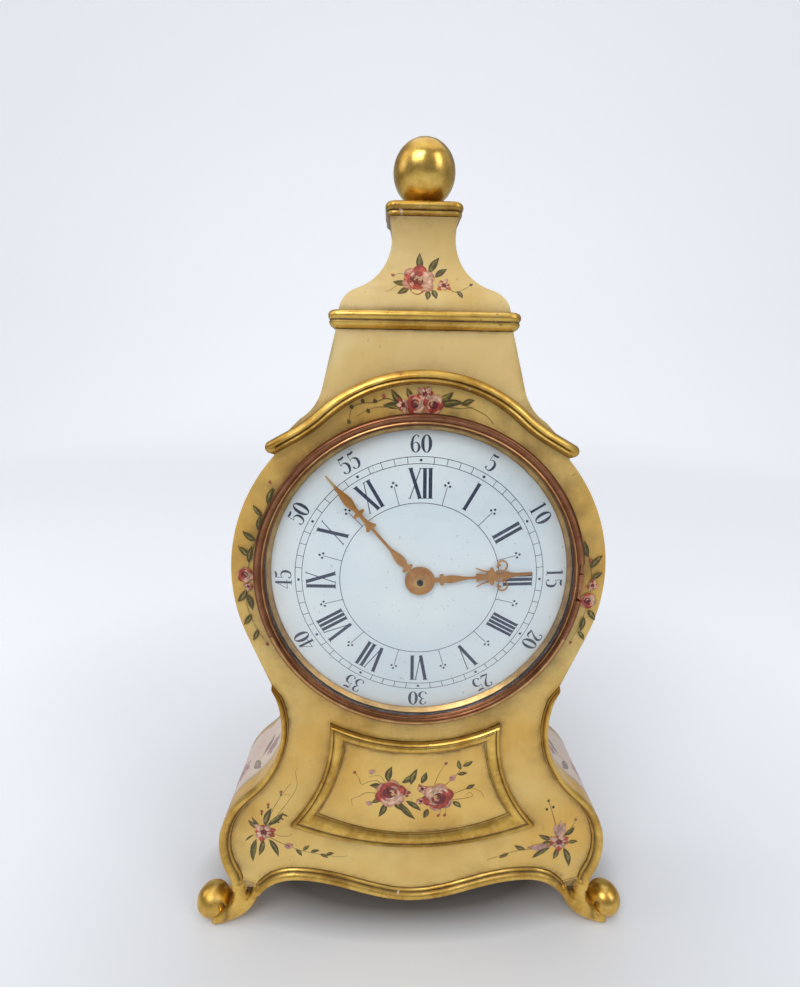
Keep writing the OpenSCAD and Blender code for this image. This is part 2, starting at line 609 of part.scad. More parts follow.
module threaded_bushing() color("goldenrod") difference() {
    union() {
        bar_y([0, 0], bush_r, hub_y, mov_y + shell_t);
        bar_y([0, 0], 5.5, in_y, in_y + 0.4);
    }
    bar_y([0, 0], pipe_r + run, hub_y - 2, in_y + 2);
}
module fixing_nut() color("goldenrod") difference() {
    bar_y([0, 0], 5.2, hub_y - 0.05, dial_apex - 0.05);
    bar_y([0, 0], bush_r + 0.02, hub_y - 2, 0);
}
module rubber_washer() color("black") difference() {
    bar_y([0, 0], 9, dial_apex + dial_t + 0.15, mov_y);
    bar_y([0, 0], bush_r + 0.2, -3, 2);
}
module circuit_board() color("darkgreen")
    block(-mov_w / 2 + 1.5, -12, mov_back - shell_t - 1.2, mov_back - shell_t - 0.2, -8, 26);
module coil() color("chocolate") bar_z(23, third_lay + 1.4, 2.8, -9, 1.9);
module stator() color("silver") difference() {
    block(9.5, 26, third_lay + 1, third_lay + 1.8, 2, 11);
    bar_y(rotor_p, 3.4, third_lay, third_lay + 3);
}
module battery() color("slategray") {
    translate([-battery_l / 2, split_y, battery_z]) rotate([0, 90, 0])
        cylinder(r = battery_r, h = battery_l - 1);
    translate([battery_l / 2 - 1, split_y, battery_z]) rotate([0, 90, 0]) cylinder(r = 2.7, h = 1);
}
module battery_contacts() color("silver") both_sides() {
    block(battery_l / 2 + 0.1, battery_l / 2 + 0.5, 4, 14, battery_z - 5, battery_z + 5);
    block(battery_l / 2 + 0.1, mov_w / 2 - shell_t - 0.1, 4, 4.4, battery_z - 5, battery_z + 5);
}
module rotor() color("gray") {
    bar_y(rotor_p, pivot_r, pivot_y, pivot_end);
    bar_y(rotor_p, 3, third_lay + 0.2, fifth_lay - 0.8);
    gear(fine_m, pinion_n, rotor_p, rotor_ph, fifth_lay - 0.8, 1.8, 0);
}
module fifth_wheel() color("white") {
    bar_y(fifth_p, pivot_r, pivot_y, pivot_end);
    gear(fine_m, fifth_n, fifth_p, 0, fifth_lay, wheel_t, 0);
    gear(gear_m, pinion_n, fifth_p, fifth_pin_ph, seconds_lay - 0.4, 2.2, 0);
}
module seconds_wheel() color("white") {
    bar_y(seconds_p, pivot_r, pivot_y, fifth_lay - 0.4);
    gear(gear_m, seconds_n, seconds_p, 0, seconds_lay, wheel_t, 0);
    gear(gear_m, pinion_n, seconds_p, seconds_pin_ph, third_lay - 0.4, 2.4, 0);
}
module third_wheel() color("white") {
    bar_y(third_p, pivot_r, pivot_y, pivot_end);
    gear(gear_m, third_n, third_p, 0, third_lay, wheel_t, 0);
    gear(gear_m, pinion_n, third_p, third_pin_ph, centre_lay - 0.4, 2.6, 0);
}
module centre_wheel() color("white") gear(gear_m, centre_n, [0, 0], 0, centre_lay, wheel_t, arbor_r + run);
module minute_arbor() color("silver") {
    bar_y([0, 0], arbor_r, hub_y - 2.8, centre_lay + 1.3);
    gear(gear_m, cannon_n, [0, 0], 0, inter_lay - 0.1, 0.9, 0);
    bar_y([0, 0], 2.4, centre_lay + wheel_t + 0.1, centre_lay + 1.3);
}
module intermediate_wheel() color("white") {
    bar_y(inter_p, pivot_r, pivot_y, centre_lay - 0.4);
    gear(gear_m, inter_n, inter_p, inter_ph, inter_lay, wheel_t, 0);
    gear(gear_m, inter_pin_n, inter_p, inter_pin_ph, hour_lay - 0.2, 2, 0);
}
module hour_wheel() color("white") difference() {
    union() {
        bar_y([0, 0], pipe_r, dial_apex - hour_off, hour_lay + wheel_t);
        gear(gear_m, hour_n, [0, 0], hour_ph, hour_lay, wheel_t, 0);
    }
    bar_y([0, 0], arbor_r + run, -9, 9);
}
module setting_knob() color("dimgray") {
    bar_y(knob_p, 1.5, centre_lay - 0.5, mov_back + 0.4);
    bar_y(knob_p, 1.1, pivot_y, centre_lay - 0.4);
    gear(gear_m, cannon_n, knob_p, knob_ph, inter_lay - 0.1, 0.9, 0);
    bar_y(knob_p, 6, mov_back + 0.4, mov_back + 3.6);
}

// Hands: outlines drawn pointing up, turned to the time and cut from a shell over the dial
module hand_shell(off) domed(0, minute_len + 1, dial_apex - off, dome_r, hand_t);
// Outline of a hand: the hub's circle, then one side's points, then both mirrored
module hand_outline(hub, side) polygon(concat(
    arc([0, 0], hub, -90, 90 - asin(side[0][0] / hub), 20), side,
    flip(side), flip(arc([0, 0], hub, -90, 90 - asin(side[0][0] / hub), 20))));
module minute_hand() color("peru") intersection() {
    hand_shell(minute_off);
    slab(-9, 9) rotate(-minute_a) difference() {
        hand_outline(4.1, minute_side);
        circle(r = arbor_r + 0.01);
    }
}
module hour_hand() color("peru") intersection() {
    hand_shell(hour_off);
    slab(-9, 9) rotate(-hour_a) difference() {
        hand_outline(5.65, hour_side);
        circle(r = pipe_r + 0.01);
    }
}
module hand_nut() color("peru") difference() {
    bar_y([0, 0], 2.5, dial_apex - minute_off - 0.75, dial_apex - minute_off - 0.05);
    bar_y([0, 0], arbor_r + 0.01, -9, 0);
}

place() front_board();
place() side_left();
place() side_right();
place() back_board();
place() bottom_board();
place() corner_blocks();
place() crown_lower();
place() mid_moulding();
place() crown_roof();
place() crown_cap();
place() finial_ball();
place() eyebrow_moulding();
place() edge_moulding_left();
place() edge_moulding_right();
place() apron_moulding();
place() cartouche_frame();
place() cartouche_panel();
place() scroll_foot_left();
place() scroll_foot_right();
place() rear_foot_left();
place() rear_foot_right();
place() rehaut();
place() dial();
place() bezel_ring();
place() glass();
place() glass_retainer();
place() bezel_hinge_leaf();
place() case_hinge_leaf();
place() bezel_hinge_pin();
place() hinge_screws();
place() back_door();
place() door_knob();
place() door_hinge_leaves();
place() back_hinge_leaves();
place() door_hinge_pins();
place() turn_button();
place() turn_button_screw();
place() back_screws();
place() movement_front_shell();
place() movement_rear_shell();
place() threaded_bushing();
place() fixing_nut();
place() rubber_washer();
place() circuit_board();
place() coil();
place() stator();
place() battery();
place() battery_contacts();
place() rotor();
place() fifth_wheel();
place() seconds_wheel();
place() third_wheel();
place() centre_wheel();
place() minute_arbor();
place() intermediate_wheel();
place() hour_wheel();
place() setting_knob();
place() hour_hand();
place() minute_hand();
place() hand_nut();
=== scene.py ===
"""Looks of a small waisted table clock with a painted and gilded case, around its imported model."""
import json
import math

import bmesh
import bpy
import numpy as np
from mathutils import Matrix, Vector
from mathutils.geometry import delaunay_2d_cdt


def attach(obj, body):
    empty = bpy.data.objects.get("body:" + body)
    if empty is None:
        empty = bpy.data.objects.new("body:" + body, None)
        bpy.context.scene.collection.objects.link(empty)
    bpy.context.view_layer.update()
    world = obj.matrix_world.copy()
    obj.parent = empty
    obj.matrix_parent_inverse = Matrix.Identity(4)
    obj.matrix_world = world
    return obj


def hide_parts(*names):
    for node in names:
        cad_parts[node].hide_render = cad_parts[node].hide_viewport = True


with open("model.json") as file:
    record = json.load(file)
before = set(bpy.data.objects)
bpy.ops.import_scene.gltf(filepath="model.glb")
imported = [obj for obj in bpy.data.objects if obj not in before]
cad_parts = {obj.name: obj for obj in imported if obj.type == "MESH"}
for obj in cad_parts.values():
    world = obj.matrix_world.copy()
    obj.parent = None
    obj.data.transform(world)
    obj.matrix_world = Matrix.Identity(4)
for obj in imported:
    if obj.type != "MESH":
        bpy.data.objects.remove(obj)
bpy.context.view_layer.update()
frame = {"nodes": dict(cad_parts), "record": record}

bl_info = {
    "name": "Waisted Table Clock",
    "version": (1, 0, 0),
    "blender": (4, 5, 0),
    "location": "View3D > Sidebar > Clock",
    "description": "Builds the painted case, dial, hands and fittings of a small table clock",
    "category": "Add Mesh",
}

# The dial's centre on the face of the board, in millimetres. All shapes below are drawn from it:
# x to the right, y away from the viewer, z up.
DIAL_Y = -20.4
DIAL_Z = 184.588
# Thickness of the front board, back of the case, height at which the edge mouldings end, and
# thickness of the side panels
BOARD_T = 8.0
BACK_Y = 48.0
HEAD_MOULDING_END = -49.5
SIDE_T = 7.0
# Radii of the dial, of the board's round opening and of the ring that holds the glass
DIAL_R, HOLE_R, RING_R = 66.0, 66.5, 68.3


# Sizes and colours

def millimetres(name, text, value):
    """A size that can be set on the panel."""
    return bpy.props.FloatProperty(name=name, description=text, default=value, min=0.0)


def colour(name, text, code):
    """A colour that can be set on the panel."""
    return bpy.props.FloatVectorProperty(
        name=name, description=text, default=tint(code), subtype="COLOR", size=3, min=0.0, max=1.0)


def tint(code):
    """A web colour as the linear colour that the renderer uses."""
    parts = [int(code[i:i + 2], 16) / 255 for i in (0, 2, 4)]
    return tuple(p / 12.92 if p <= 0.04045 else ((p + 0.055) / 1.055) ** 2.4 for p in parts)


class ClockSizes(bpy.types.PropertyGroup):
    """Sizes that the finished surfaces follow, in millimetres."""
    edge_width: millimetres("Edge moulding", "Width of the gilt edge at the hip", 5.4)
    frame_proud: millimetres("Cartouche height", "How far the cartouche frame stands out", 2.6)
    cone_depth: millimetres("Cone depth", "How far the brass cone stands out from the dial", 1.1)
    line_width: millimetres("Print line", "Width of the dial's thin printed lines", 0.25)
    minute_length: millimetres("Minute hand", "Length of the minute hand from its centre", 57.8)
    hour_length: millimetres("Hour hand", "Length of the hour hand from its centre", 46.6)
    glass_rise: millimetres("Glass rise", "How far the glass bulges", 7.0)


class ClockColours(bpy.types.PropertyGroup):
    """Colours of the clock's finishes."""
    cream: colour("Cream", "Paint on the front of the case", "e8b957")
    side: colour("Side", "Paint on the sides of the case", "dcc6bb")
    gold: colour("Gold", "Gold leaf", "eec566")
    enamel: colour("Enamel", "The dial's ground", "d2e0e8")
    print_ink: colour("Print", "The dial's numerals and lines", "16213d")
    copper: colour("Ring", "The bezel ring", "b98360")
    hand: colour("Hands", "The hour and minute hands", "b67c3a")


class ClockStage(bpy.types.PropertyGroup):
    """The floor, the light and the camera."""
    floor: colour("Floor", "The floor and the backdrop", "e6e9ee")
    lamp_power: bpy.props.FloatProperty(
        name="Lamp", description="Power of the large front lamp", default=5.4, min=0.0, unit="POWER")
    lens: bpy.props.FloatProperty(
        name="Lens", description="Focal length on a 36 mm high frame", default=18.237, min=1.0)


# Drawing in the plane of the dial

def turn_to(angle):
    """A unit vector at an angle in degrees."""
    return np.array([math.cos(math.radians(angle)), math.sin(math.radians(angle))])


def arc(centre, radius, start, end, count=24):
    """Points of an arc, from one angle in degrees to another."""
    angles = np.radians(np.linspace(start, end, count + 1))
    return np.c_[centre[0] + radius * np.cos(angles), centre[1] + radius * np.sin(angles)]


def around(count):
    """Equal steps round a circle, in radians."""
    return np.linspace(0, 2 * math.pi, count, endpoint=False)


def flipped(points):
    """The same line on the clock's left side, drawn back to front."""
    return (np.asarray(points) * [-1, 1])[::-1]


def drop_repeats(points, near=1e-4):
    """The line without points that lie on one another."""
    points = np.asarray(points, float)
    keep = [0]
    for i in range(1, len(points)):
        if np.linalg.norm(points[i] - points[keep[-1]]) > near:
            keep.append(i)
    if len(keep) > 2 and np.linalg.norm(points[keep[-1]] - points[0]) <= near:
        keep.pop()
    return points[keep]


def smooth(points, steps=6):
    """A smooth line through the points, with values beyond x and z carried along."""
    p = np.asarray(points, float)
    p = np.vstack([2 * p[0] - p[1], p, 2 * p[-1] - p[-2]])
    out = []
    for a, b, c, d in zip(p[:-3], p[1:-2], p[2:-1], p[3:]):
        for t in np.linspace(0, 1, steps, endpoint=False):
            out.append(0.5 * (2 * b + (c - a) * t + (2 * a - 5 * b + 4 * c - d) * t * t
                              + (3 * b - a - 3 * c + d) * t ** 3))
    out.append(p[-2])
    return np.array(out)


def sideways(points):
    """Unit vectors to the right of each step along a line."""
    steps = np.gradient(np.asarray(points, float)[:, :2], axis=0)
    steps /= np.maximum(np.linalg.norm(steps, axis=1), 1e-9)[:, None]
    return np.c_[steps[:, 1], -steps[:, 0]]


def inside(points, loops):
    """Which points lie in the first loop and outside the others."""
    hits = np.zeros(len(points), bool)
    for loop in loops:
        a, b = np.asarray(loop), np.roll(loop, -1, axis=0)
        for p, q in zip(a, b):
            crosses = (p[1] > points[:, 1]) != (q[1] > points[:, 1])
            if p[1] != q[1]:
                at = p[0] + (points[:, 1] - p[1]) * (q[0] - p[0]) / (q[1] - p[1])
                hits ^= crosses & (points[:, 0] < at)
    return hits


def distance(points, line):
    """How far each point is from a drawn line."""
    best = np.full(len(points), 1e9)
    line = np.asarray(line, float)
    for a, b in zip(line[:-1], line[1:]):
        along = b - a
        t = np.clip(((points - a) @ along) / max(along @ along, 1e-9), 0, 1)
        best = np.minimum(best, np.linalg.norm(points - a - t[:, None] * along, axis=1))
    return best


# The case's outline, right half, from the arch's end down to the foot
HEAD = (np.array([3.0, 0.0]), 75.2, 42.5, -21.159)
WAIST = (np.array([108.6, -70.145]), 48.6, 158.841, 229.88)
HIP = (np.array([52.4, -138.388]), 39.8, 49.88, -25.0)
BROW_C = np.array([0.0, 23.6])
BROW_R = 58.25
BROW_SIDE_R = 60
BROW_SIDE_C = BROW_C + (BROW_R + BROW_SIDE_R) * turn_to(48)
BROW_TIP = BROW_SIDE_C + BROW_SIDE_R * turn_to(241) + 10.6 * turn_to(-29)
OGEE_C = np.array([57.0, -177.288])
OGEE_R = 20
JOINT_IN = OGEE_C + OGEE_R * turn_to(50)
JOINT_OUT = HIP[0] + HIP[1] * turn_to(-25)
WAVE_Z = -163.588
WAVE_RISE = 6.3
SIDE_STEPS = 60


def side_line(t=0.0, count=26):
    """The right side's outline, t millimetres inside the case's edge."""
    bends = [(HEAD, -t), (WAIST, t), (HIP, -t)]
    return drop_repeats(np.vstack([
        arc(centre, radius + change, start, end, count)
        for (centre, radius, start, end), change in bends]))


def edge_widths(line, width):
    """How wide the gilt edge is at each point of the side's outline below the crown."""
    along = [0, 0.05, 0.15, 0.35, 0.55, 0.75, 1.0]
    parts = [0.1, 0.46, 0.56, 0.62, 0.86, 1.0, 1.08]
    return width * np.interp(np.linspace(0, 1, len(line)), along, parts)


def edge_line():
    """The part of the side's outline that carries the gilt edge."""
    line = side_line(0.0, SIDE_STEPS)
    return line[line[:, 1] < HEAD_MOULDING_END]


def brow_line():
    """The arch from its left end over the top to its right end."""
    right = np.vstack([arc(BROW_C, BROW_R, 90, 48, 40),
                       arc(BROW_SIDE_C, BROW_SIDE_R, 228, 241, 10), [BROW_TIP]])
    return drop_repeats(np.vstack([flipped(right), right]))


def right_brow():
    """The right half of the arch."""
    line = brow_line()
    return line[line[:, 0] > -1]


def apron_line(up=0.0):
    """The wavy lower edge from right to left, drawn up a little for its upper side."""
    half = OGEE_C[0]
    x = np.linspace(half, -half, 81)
    middle = np.c_[x, WAVE_Z - WAVE_RISE * np.cos(np.radians(180 * x / half)) + up]
    end = arc(OGEE_C, OGEE_R + up, 50, 90, 12)
    return drop_repeats(np.vstack([end, middle, flipped(end)]))


# Meshes

def skin(rings, around=True, ends=True):
    """Points and faces of a shape drawn through rings of equally many points."""
    n = len(rings[0])
    points = np.vstack([np.asarray(r, float) for r in rings])
    faces = []
    for i in range(len(rings) - 1):
        for j in range(n if around else n - 1):
            k = (j + 1) % n
            faces.append((i * n + j, i * n + k, (i + 1) * n + k, (i + 1) * n + j))
    if around and ends:
        faces.append(tuple(range(n)))
        faces.append(tuple(range((len(rings) - 1) * n, len(rings) * n))[::-1])
    return points, faces


def joined(*shapes):
    """Several (points, faces) as one."""
    points, faces, at = [], [], 0
    for p, f in shapes:
        points.append(np.asarray(p, float))
        faces += [tuple(i + at for i in face) for face in f]
        at += len(p)
    return np.vstack(points), faces


def mirrored(points, faces):
    """The same shape on the other side."""
    return np.asarray(points) * [-1, 1, 1], [f[::-1] for f in faces]


def turned(profile, count=160, start=0.0, end=360.0):
    """A ring or disc turned about the line of sight; the profile holds radius and y."""
    angles = np.radians(np.linspace(start, end, count + 1))
    rings = [[(r * math.cos(a), y, r * math.sin(a)) for r, y in profile] for a in angles]
    return skin(rings, ends=end - start < 360)


def sweep(line, profile, widths=None, round_ends=0.0):
    """A moulding along a line in the plane of the dial. The profile holds steps to the line's
    right and y; widths scale the steps along the line."""
    line = np.asarray(line, float)
    right = sideways(line)
    widths = np.ones(len(line)) if widths is None else widths
    rings = []
    for p, r, w in zip(line, right, widths):
        rings.append([(p[0] + r[0] * u * w, y, p[1] + r[1] * u * w) for u, y in profile])
    if round_ends:
        for at, out in ((0, line[0] - line[1]), (-1, line[-1] - line[-2])):
            out = out / np.linalg.norm(out)
            base = np.array(rings[at])
            core = base.mean(0)
            core[1] = 0.0
            caps = [core + (base - core) * math.cos(t)
                    + np.array([out[0], 0, out[1]]) * round_ends * math.sin(t)
                    for t in np.radians([25, 48, 68, 84])]
            rings = caps[::-1] + rings if at == 0 else rings + caps
    return skin(rings)


def slab(outline, front, back, holes=(), grid=2.0):
    """A board with its holes: its face is a fine net, so that it can be shaped and shaded."""
    loops = [drop_repeats(outline)] + [drop_repeats(h) for h in holes]
    flat = np.vstack(loops)
    edges, at = [], 0
    for loop in loops:
        edges += [(at + i, at + (i + 1) % len(loop)) for i in range(len(loop))]
        at += len(loop)
    low, high = flat.min(0), flat.max(0)
    rows = np.arange(low[1] + grid / 2, high[1], grid)
    net = [(x, z) for i, z in enumerate(rows)
           for x in np.arange(low[0] + grid * (0.25 + 0.5 * (i % 2)), high[0], grid)]
    net = np.array(net) if net else np.zeros((0, 2))
    net = net[inside(net, loops)]
    for loop in loops:
        net = net[distance(net, np.vstack([loop, loop[:1]])) > grid * 0.45]
    co, _, tri, _, _, _ = delaunay_2d_cdt(
        [Vector(p) for p in np.vstack([flat, net])], edges, [], 0, 1e-6)
    co = np.array([tuple(c) for c in co])
    middle = np.array([co[list(t)].mean(0) for t in tri])
    tri = [tuple(t) for t, ok in zip(tri, inside(middle, loops)) if ok]
    depths = [side(co) if callable(side) else np.full(len(co), float(side)) for side in (front, back)]
    points = np.vstack([np.c_[co[:, 0], y, co[:, 1]] for y in depths])
    n = len(co)
    faces = list(tri) + [tuple(i + n for i in t[::-1]) for t in tri]
    steps = {(a, b): 1 for t in tri for a, b in zip(t, t[1:] + t[:1])}
    faces += [(b, a, a + n, b + n) for a, b in steps if (b, a) not in steps]
    return points, faces


def girdle(half, front, profile, corner):
    """A moulding or block round three sides: the profile holds steps outwards and z."""
    rings, steps = [], 28
    for out, z in profile:
        h, f, r = half + out, front - out, max(corner + out, 0.3)
        left = arc((-h + r, f + r), r, 180, 270, 6)
        right = arc((h - r, f + r), r, 270, 360, 6)
        plan = np.vstack([
            np.c_[np.full(steps, -h), np.linspace(BACK_Y, f + r, steps)], left,
            np.c_[np.linspace(-h + r, h - r, steps)[1:-1], np.full(steps - 2, f)], right,
            np.c_[np.full(steps, h), np.linspace(f + r, BACK_Y, steps)]])
        rings.append(np.c_[plan[:, 0], plan[:, 1], np.full(len(plan), z)])
    return skin(rings)


def build(name, shape, kinds, body="case", stands_for=(), slot=None, shade_and_dirt=None, tints=None,
          closed=True, sharp=35.0, pick=None):
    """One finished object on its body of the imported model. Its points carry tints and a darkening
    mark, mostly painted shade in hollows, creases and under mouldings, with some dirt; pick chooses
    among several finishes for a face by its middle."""
    points, faces = shape
    mesh = bpy.data.meshes.new(name)
    placed = (np.asarray(points, float) + [0, DIAL_Y, DIAL_Z]) / 1000
    mesh.from_pydata(placed.tolist(), [], [list(f) for f in faces])
    if shade_and_dirt is not None:
        marks = mesh.attributes.new("shade_and_dirt", "FLOAT", "POINT").data
        marks.foreach_set("value", np.asarray(shade_and_dirt, np.float32))
    if tints is not None:
        marks = mesh.attributes.new("tint", "FLOAT_COLOR", "POINT").data
        marks.foreach_set("color", np.c_[tints, np.ones(len(tints))].astype(np.float32).ravel())
    if closed:
        work = bmesh.new()
        work.from_mesh(mesh)
        bmesh.ops.remove_doubles(work, verts=work.verts, dist=2e-6)
        bmesh.ops.dissolve_degenerate(work, edges=work.edges, dist=1e-7)
        bmesh.ops.recalc_face_normals(work, faces=work.faces)
        work.to_mesh(mesh)
        work.free()
    mesh.shade_smooth()
    mesh.set_sharp_from_angle(angle=math.radians(sharp))
    thing = bpy.data.objects.new(name, mesh)
    bpy.context.scene.collection.objects.link(thing)
    kinds = [kinds] if isinstance(kinds, str) else kinds
    for kind in kinds:
        mesh.materials.append(finish(kind))
    if pick:
        for face in mesh.polygons:
            x, y, z = face.center * 1000
            face.material_index = pick(x, y - DIAL_Y, z - DIAL_Z)
    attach(thing, body)
    if stands_for:
        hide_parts(*stands_for)
    slot = slot or SLOTS.get(kinds[0], kinds[0])


# Finishes

def shade(value):
    """A web colour, or one of the clock's own colours by its name."""
    own = bpy.context.scene.clock_colours
    return tuple(getattr(own, value)) if hasattr(own, value) else tint(value)


class Nodes:
    """Nodes that are put together one by one. A colour may be given as text for shade."""

    def __init__(self, tree):
        self.tree = tree

    def add(self, kind, settings=(), **inputs):
        """A node with its settings, and its sockets by their names with _ for a space."""
        node = self.tree.nodes.new(kind)
        for key, value in dict(settings).items():
            setattr(node, key, value)
        for key, value in inputs.items():
            self.put(node.inputs[key.replace("_", " ")], value)
        return node

    def out(self, kind, settings=(), **inputs):
        """The first output of a new node."""
        return self.add(kind, settings, **inputs).outputs[0]

    def put(self, socket, value):
        """Links or sets a socket."""
        if isinstance(value, bpy.types.NodeSocket):
            self.tree.links.new(value, socket)
            return
        if isinstance(value, str):
            value = shade(value)
        if isinstance(value, tuple) and len(value) == 3 and socket.type == "RGBA":
            value = (*value, 1.0)
        socket.default_value = value

    def noise(self, scale, detail=3.0, rough=0.55, stretch=(1, 1, 1), bend=0.0, shift=(0, 0, 0)):
        """Cloudy noise in the material's own place, from 0 to 1."""
        place = self.place
        if stretch != (1, 1, 1) or shift != (0, 0, 0):
            place = self.add("ShaderNodeMapping", Vector=place, Scale=stretch,
                             Location=shift).outputs["Vector"]
        return self.add("ShaderNodeTexNoise", Vector=place, Scale=scale, Detail=detail,
                        Roughness=rough, Distortion=bend).outputs["Fac"]

    def ramp(self, factor, *stops):
        """Colours or values at given places of a factor."""
        node = self.add("ShaderNodeValToRGB", Fac=factor)
        band = node.color_ramp
        while len(band.elements) < len(stops):
            band.elements.new(0.5)
        for element, (at, value) in zip(band.elements, stops):
            value = shade(value) if isinstance(value, str) else value
            element.position = at
            element.color = (*value, 1) if isinstance(value, tuple) else (value, value, value, 1)
        return node.outputs["Color"]

    def mix(self, factor, a, b, way="MIX"):
        """Colour a that turns to b as the factor grows."""
        node = self.add("ShaderNodeMix", {"data_type": "RGBA", "blend_type": way})
        for socket, value in zip((node.inputs["Factor"], node.inputs[6], node.inputs[7]), (factor, a, b)):
            self.put(socket, value)
        return node.outputs[2]

    def sum(self, way, a, b, clamp=False):
        """Two values through one step of arithmetic; a third one stays at its default of 0.5."""
        node = self.add("ShaderNodeMath", {"operation": way, "use_clamp": clamp})
        self.put(node.inputs[0], a)
        self.put(node.inputs[1], b)
        return node.outputs[0]

    def length(self, vector):
        """The length of a vector."""
        return self.add("ShaderNodeVectorMath", {"operation": "LENGTH"}, Vector=vector).outputs["Value"]

    def mark(self, name, part="Fac"):
        """The marks that build left on the mesh."""
        return self.add("ShaderNodeAttribute", {"attribute_name": name}).outputs[part]

    def bump(self, height, depth, strength=1.0, after=None):
        """A relief of a depth in metres, on top of an earlier one."""
        node = self.add("ShaderNodeBump", Height=height, Distance=depth, Strength=strength)
        if after is not None:
            self.put(node.inputs["Normal"], after)
        return node.outputs["Normal"]

    def seen(self):
        """1 for a ray from the camera, also where it has come through glass only."""
        path = self.add("ShaderNodeLightPath").outputs
        bounces = self.sum("ADD", path["Diffuse Depth"], path["Glossy Depth"])
        through = self.sum("MULTIPLY", path["Is Transmission Ray"], self.sum("LESS_THAN", bounces, 0.5))
        return self.sum("MAXIMUM", path["Is Camera Ray"], through)


class Finish(Nodes):
    """A material whose patterns follow Object coordinates."""

    def __init__(self, name):
        self.material = bpy.data.materials.new(name)
        self.material.use_nodes = True
        super().__init__(self.material.node_tree)
        self.shader = self.tree.nodes["Principled BSDF"]
        self.place = self.add("ShaderNodeTexCoord").outputs["Object"]

    def set(self, **inputs):
        """Sockets of the main shader, by their names with _ for a space."""
        for key, value in inputs.items():
            self.put(self.shader.inputs[key.replace("_", " ")], value)


def aged_paint(f, base, light, yellow, deep):
    """Cream distemper with brush marks, yellowed clouds and rubbed places, and a brown where marked:
    painted shade with some dirt.
    """
    clouds = f.ramp(f.noise(16, 4, 0.6, shift=(3, 0, 1)), (0.36, base), (0.66, light))
    old = f.ramp(f.noise(23, 3, 0.5, shift=(0, 5, 2)), (0.46, 0.0), (0.66, 0.75))
    body = f.mix(old, clouds, yellow)
    brush = f.noise(90, 2, 0.5, stretch=(6, 1, 0.7))
    body = f.mix(f.ramp(brush, (0.42, 0.0), (0.75, 0.16)), body, light)
    smudge = f.ramp(f.noise(55, 5, 0.65), (0.44, 0.35), (0.62, 1.0))
    # The marked brown is painted shade along mouldings, edges and under the ring, with some dirt.
    body = f.mix(f.sum("MULTIPLY", f.mark("shade_and_dirt"), smudge, True), body, deep)
    rub = f.sum("MULTIPLY", f.ramp(f.noise(420, 2, 0.6), (0.69, 0.0), (0.75, 0.6)),
                f.ramp(f.noise(30, 3), (0.45, 0.0), (0.65, 1.0)), True)
    body = f.mix(rub, body, deep)
    haze = f.ramp(f.noise(38, 4, 0.6, shift=(7, 2, 4)), (0.54, 0.0), (0.74, 0.32))
    f.set(Base_Color=f.mix(haze, body, "a97f35"), Roughness=f.ramp(smudge, (0.0, 0.36), (1.0, 0.5)),
          Normal=f.bump(brush, 0.00012, 0.4), Specular_IOR_Level=0.42, Coat_Weight=0.22,
          Coat_Roughness=0.28)


def side_paint(f):
    """Pale greyish pink with warm clouds, brown along the rear edge."""
    clouds = f.ramp(f.noise(14, 4, 0.6), (0.38, "side"), (0.64, "e6d5bd"))
    blush = f.ramp(f.noise(30, 4, 0.6, shift=(2, 2, 2)), (0.52, 0.0), (0.75, 0.5))
    body = f.mix(blush, clouds, "d0a8a0")
    depth = f.add("ShaderNodeSeparateXYZ", Vector=f.place).outputs["Y"]
    ragged = f.sum("ADD", depth, f.sum("MULTIPLY", f.noise(60, 3), 0.004))
    body = f.mix(f.ramp(ragged, (0.0240, 0.0), (0.0275, 1.0)), body, "a98a3c")
    # The marked brown is painted shade at the crease with the front board and in the corner under the
    # crown, and darker towards the bottom.
    f.set(Base_Color=f.mix(f.mark("shade_and_dirt"), body, "6a4a20"), Roughness=0.46, Coat_Weight=0.15,
          Coat_Roughness=0.3, Normal=f.bump(f.noise(80, 2, 0.5, stretch=(1, 1, 5)), 0.0001, 0.4))


def gilding(f, worn=0.0, rough=0.27):
    """Gold leaf over red clay, rubbed to white chalk; pale patches are in part painted highlight, and
    the brown in the marked hollows is painted shade with some dirt.
    """
    leaf = f.mix(f.ramp(f.noise(75, 4, 0.6), (0.38, 0.75), (0.62, 0.0)), "gold", "b07f2c")
    # Pale patches at random, which stand in part for glints: painted highlight.
    leaf = f.mix(f.ramp(f.noise(260, 3, 0.6), (0.50, 0.0), (0.75, 0.38)), leaf, "f8dc8e")
    # Painted shade, with some dirt, in the marked hollows: brown, and less metallic.
    hollow = f.sum("MULTIPLY", f.mark("shade_and_dirt"), f.ramp(f.noise(120, 3), (0.25, 0.75), (0.6, 1.0)), True)
    leaf = f.mix(hollow, leaf, "3b2108")
    chips = f.ramp(f.noise(170, 5, 0.68, shift=(4, 1, 7)), (0.665 - worn, 0.0), (0.69 - worn, 1.0))
    rub = f.sum("MULTIPLY", chips, f.ramp(f.noise(24, 2, shift=(9, 0, 3)), (0.46, 0.0), (0.6, 1.0)), True)
    leaf = f.mix(rub, leaf, f.ramp(f.noise(300, 2), (0.4, "9c5a34"), (0.6, "d9c3ae")))
    bare = f.sum("ADD", rub, f.sum("MULTIPLY", hollow, 0.55), True)
    dents = f.bump(f.noise(140, 3, 0.5), 0.0004, 0.35)
    f.set(Base_Color=leaf, Metallic=f.sum("SUBTRACT", 1.0, bare, True),
          Normal=f.bump(f.noise(900, 2, 0.5), 0.00004, 0.35, dents),
          Roughness=f.ramp(f.noise(95, 3, shift=(1, 1, 1)), (0.35, rough), (0.7, rough + 0.17)))


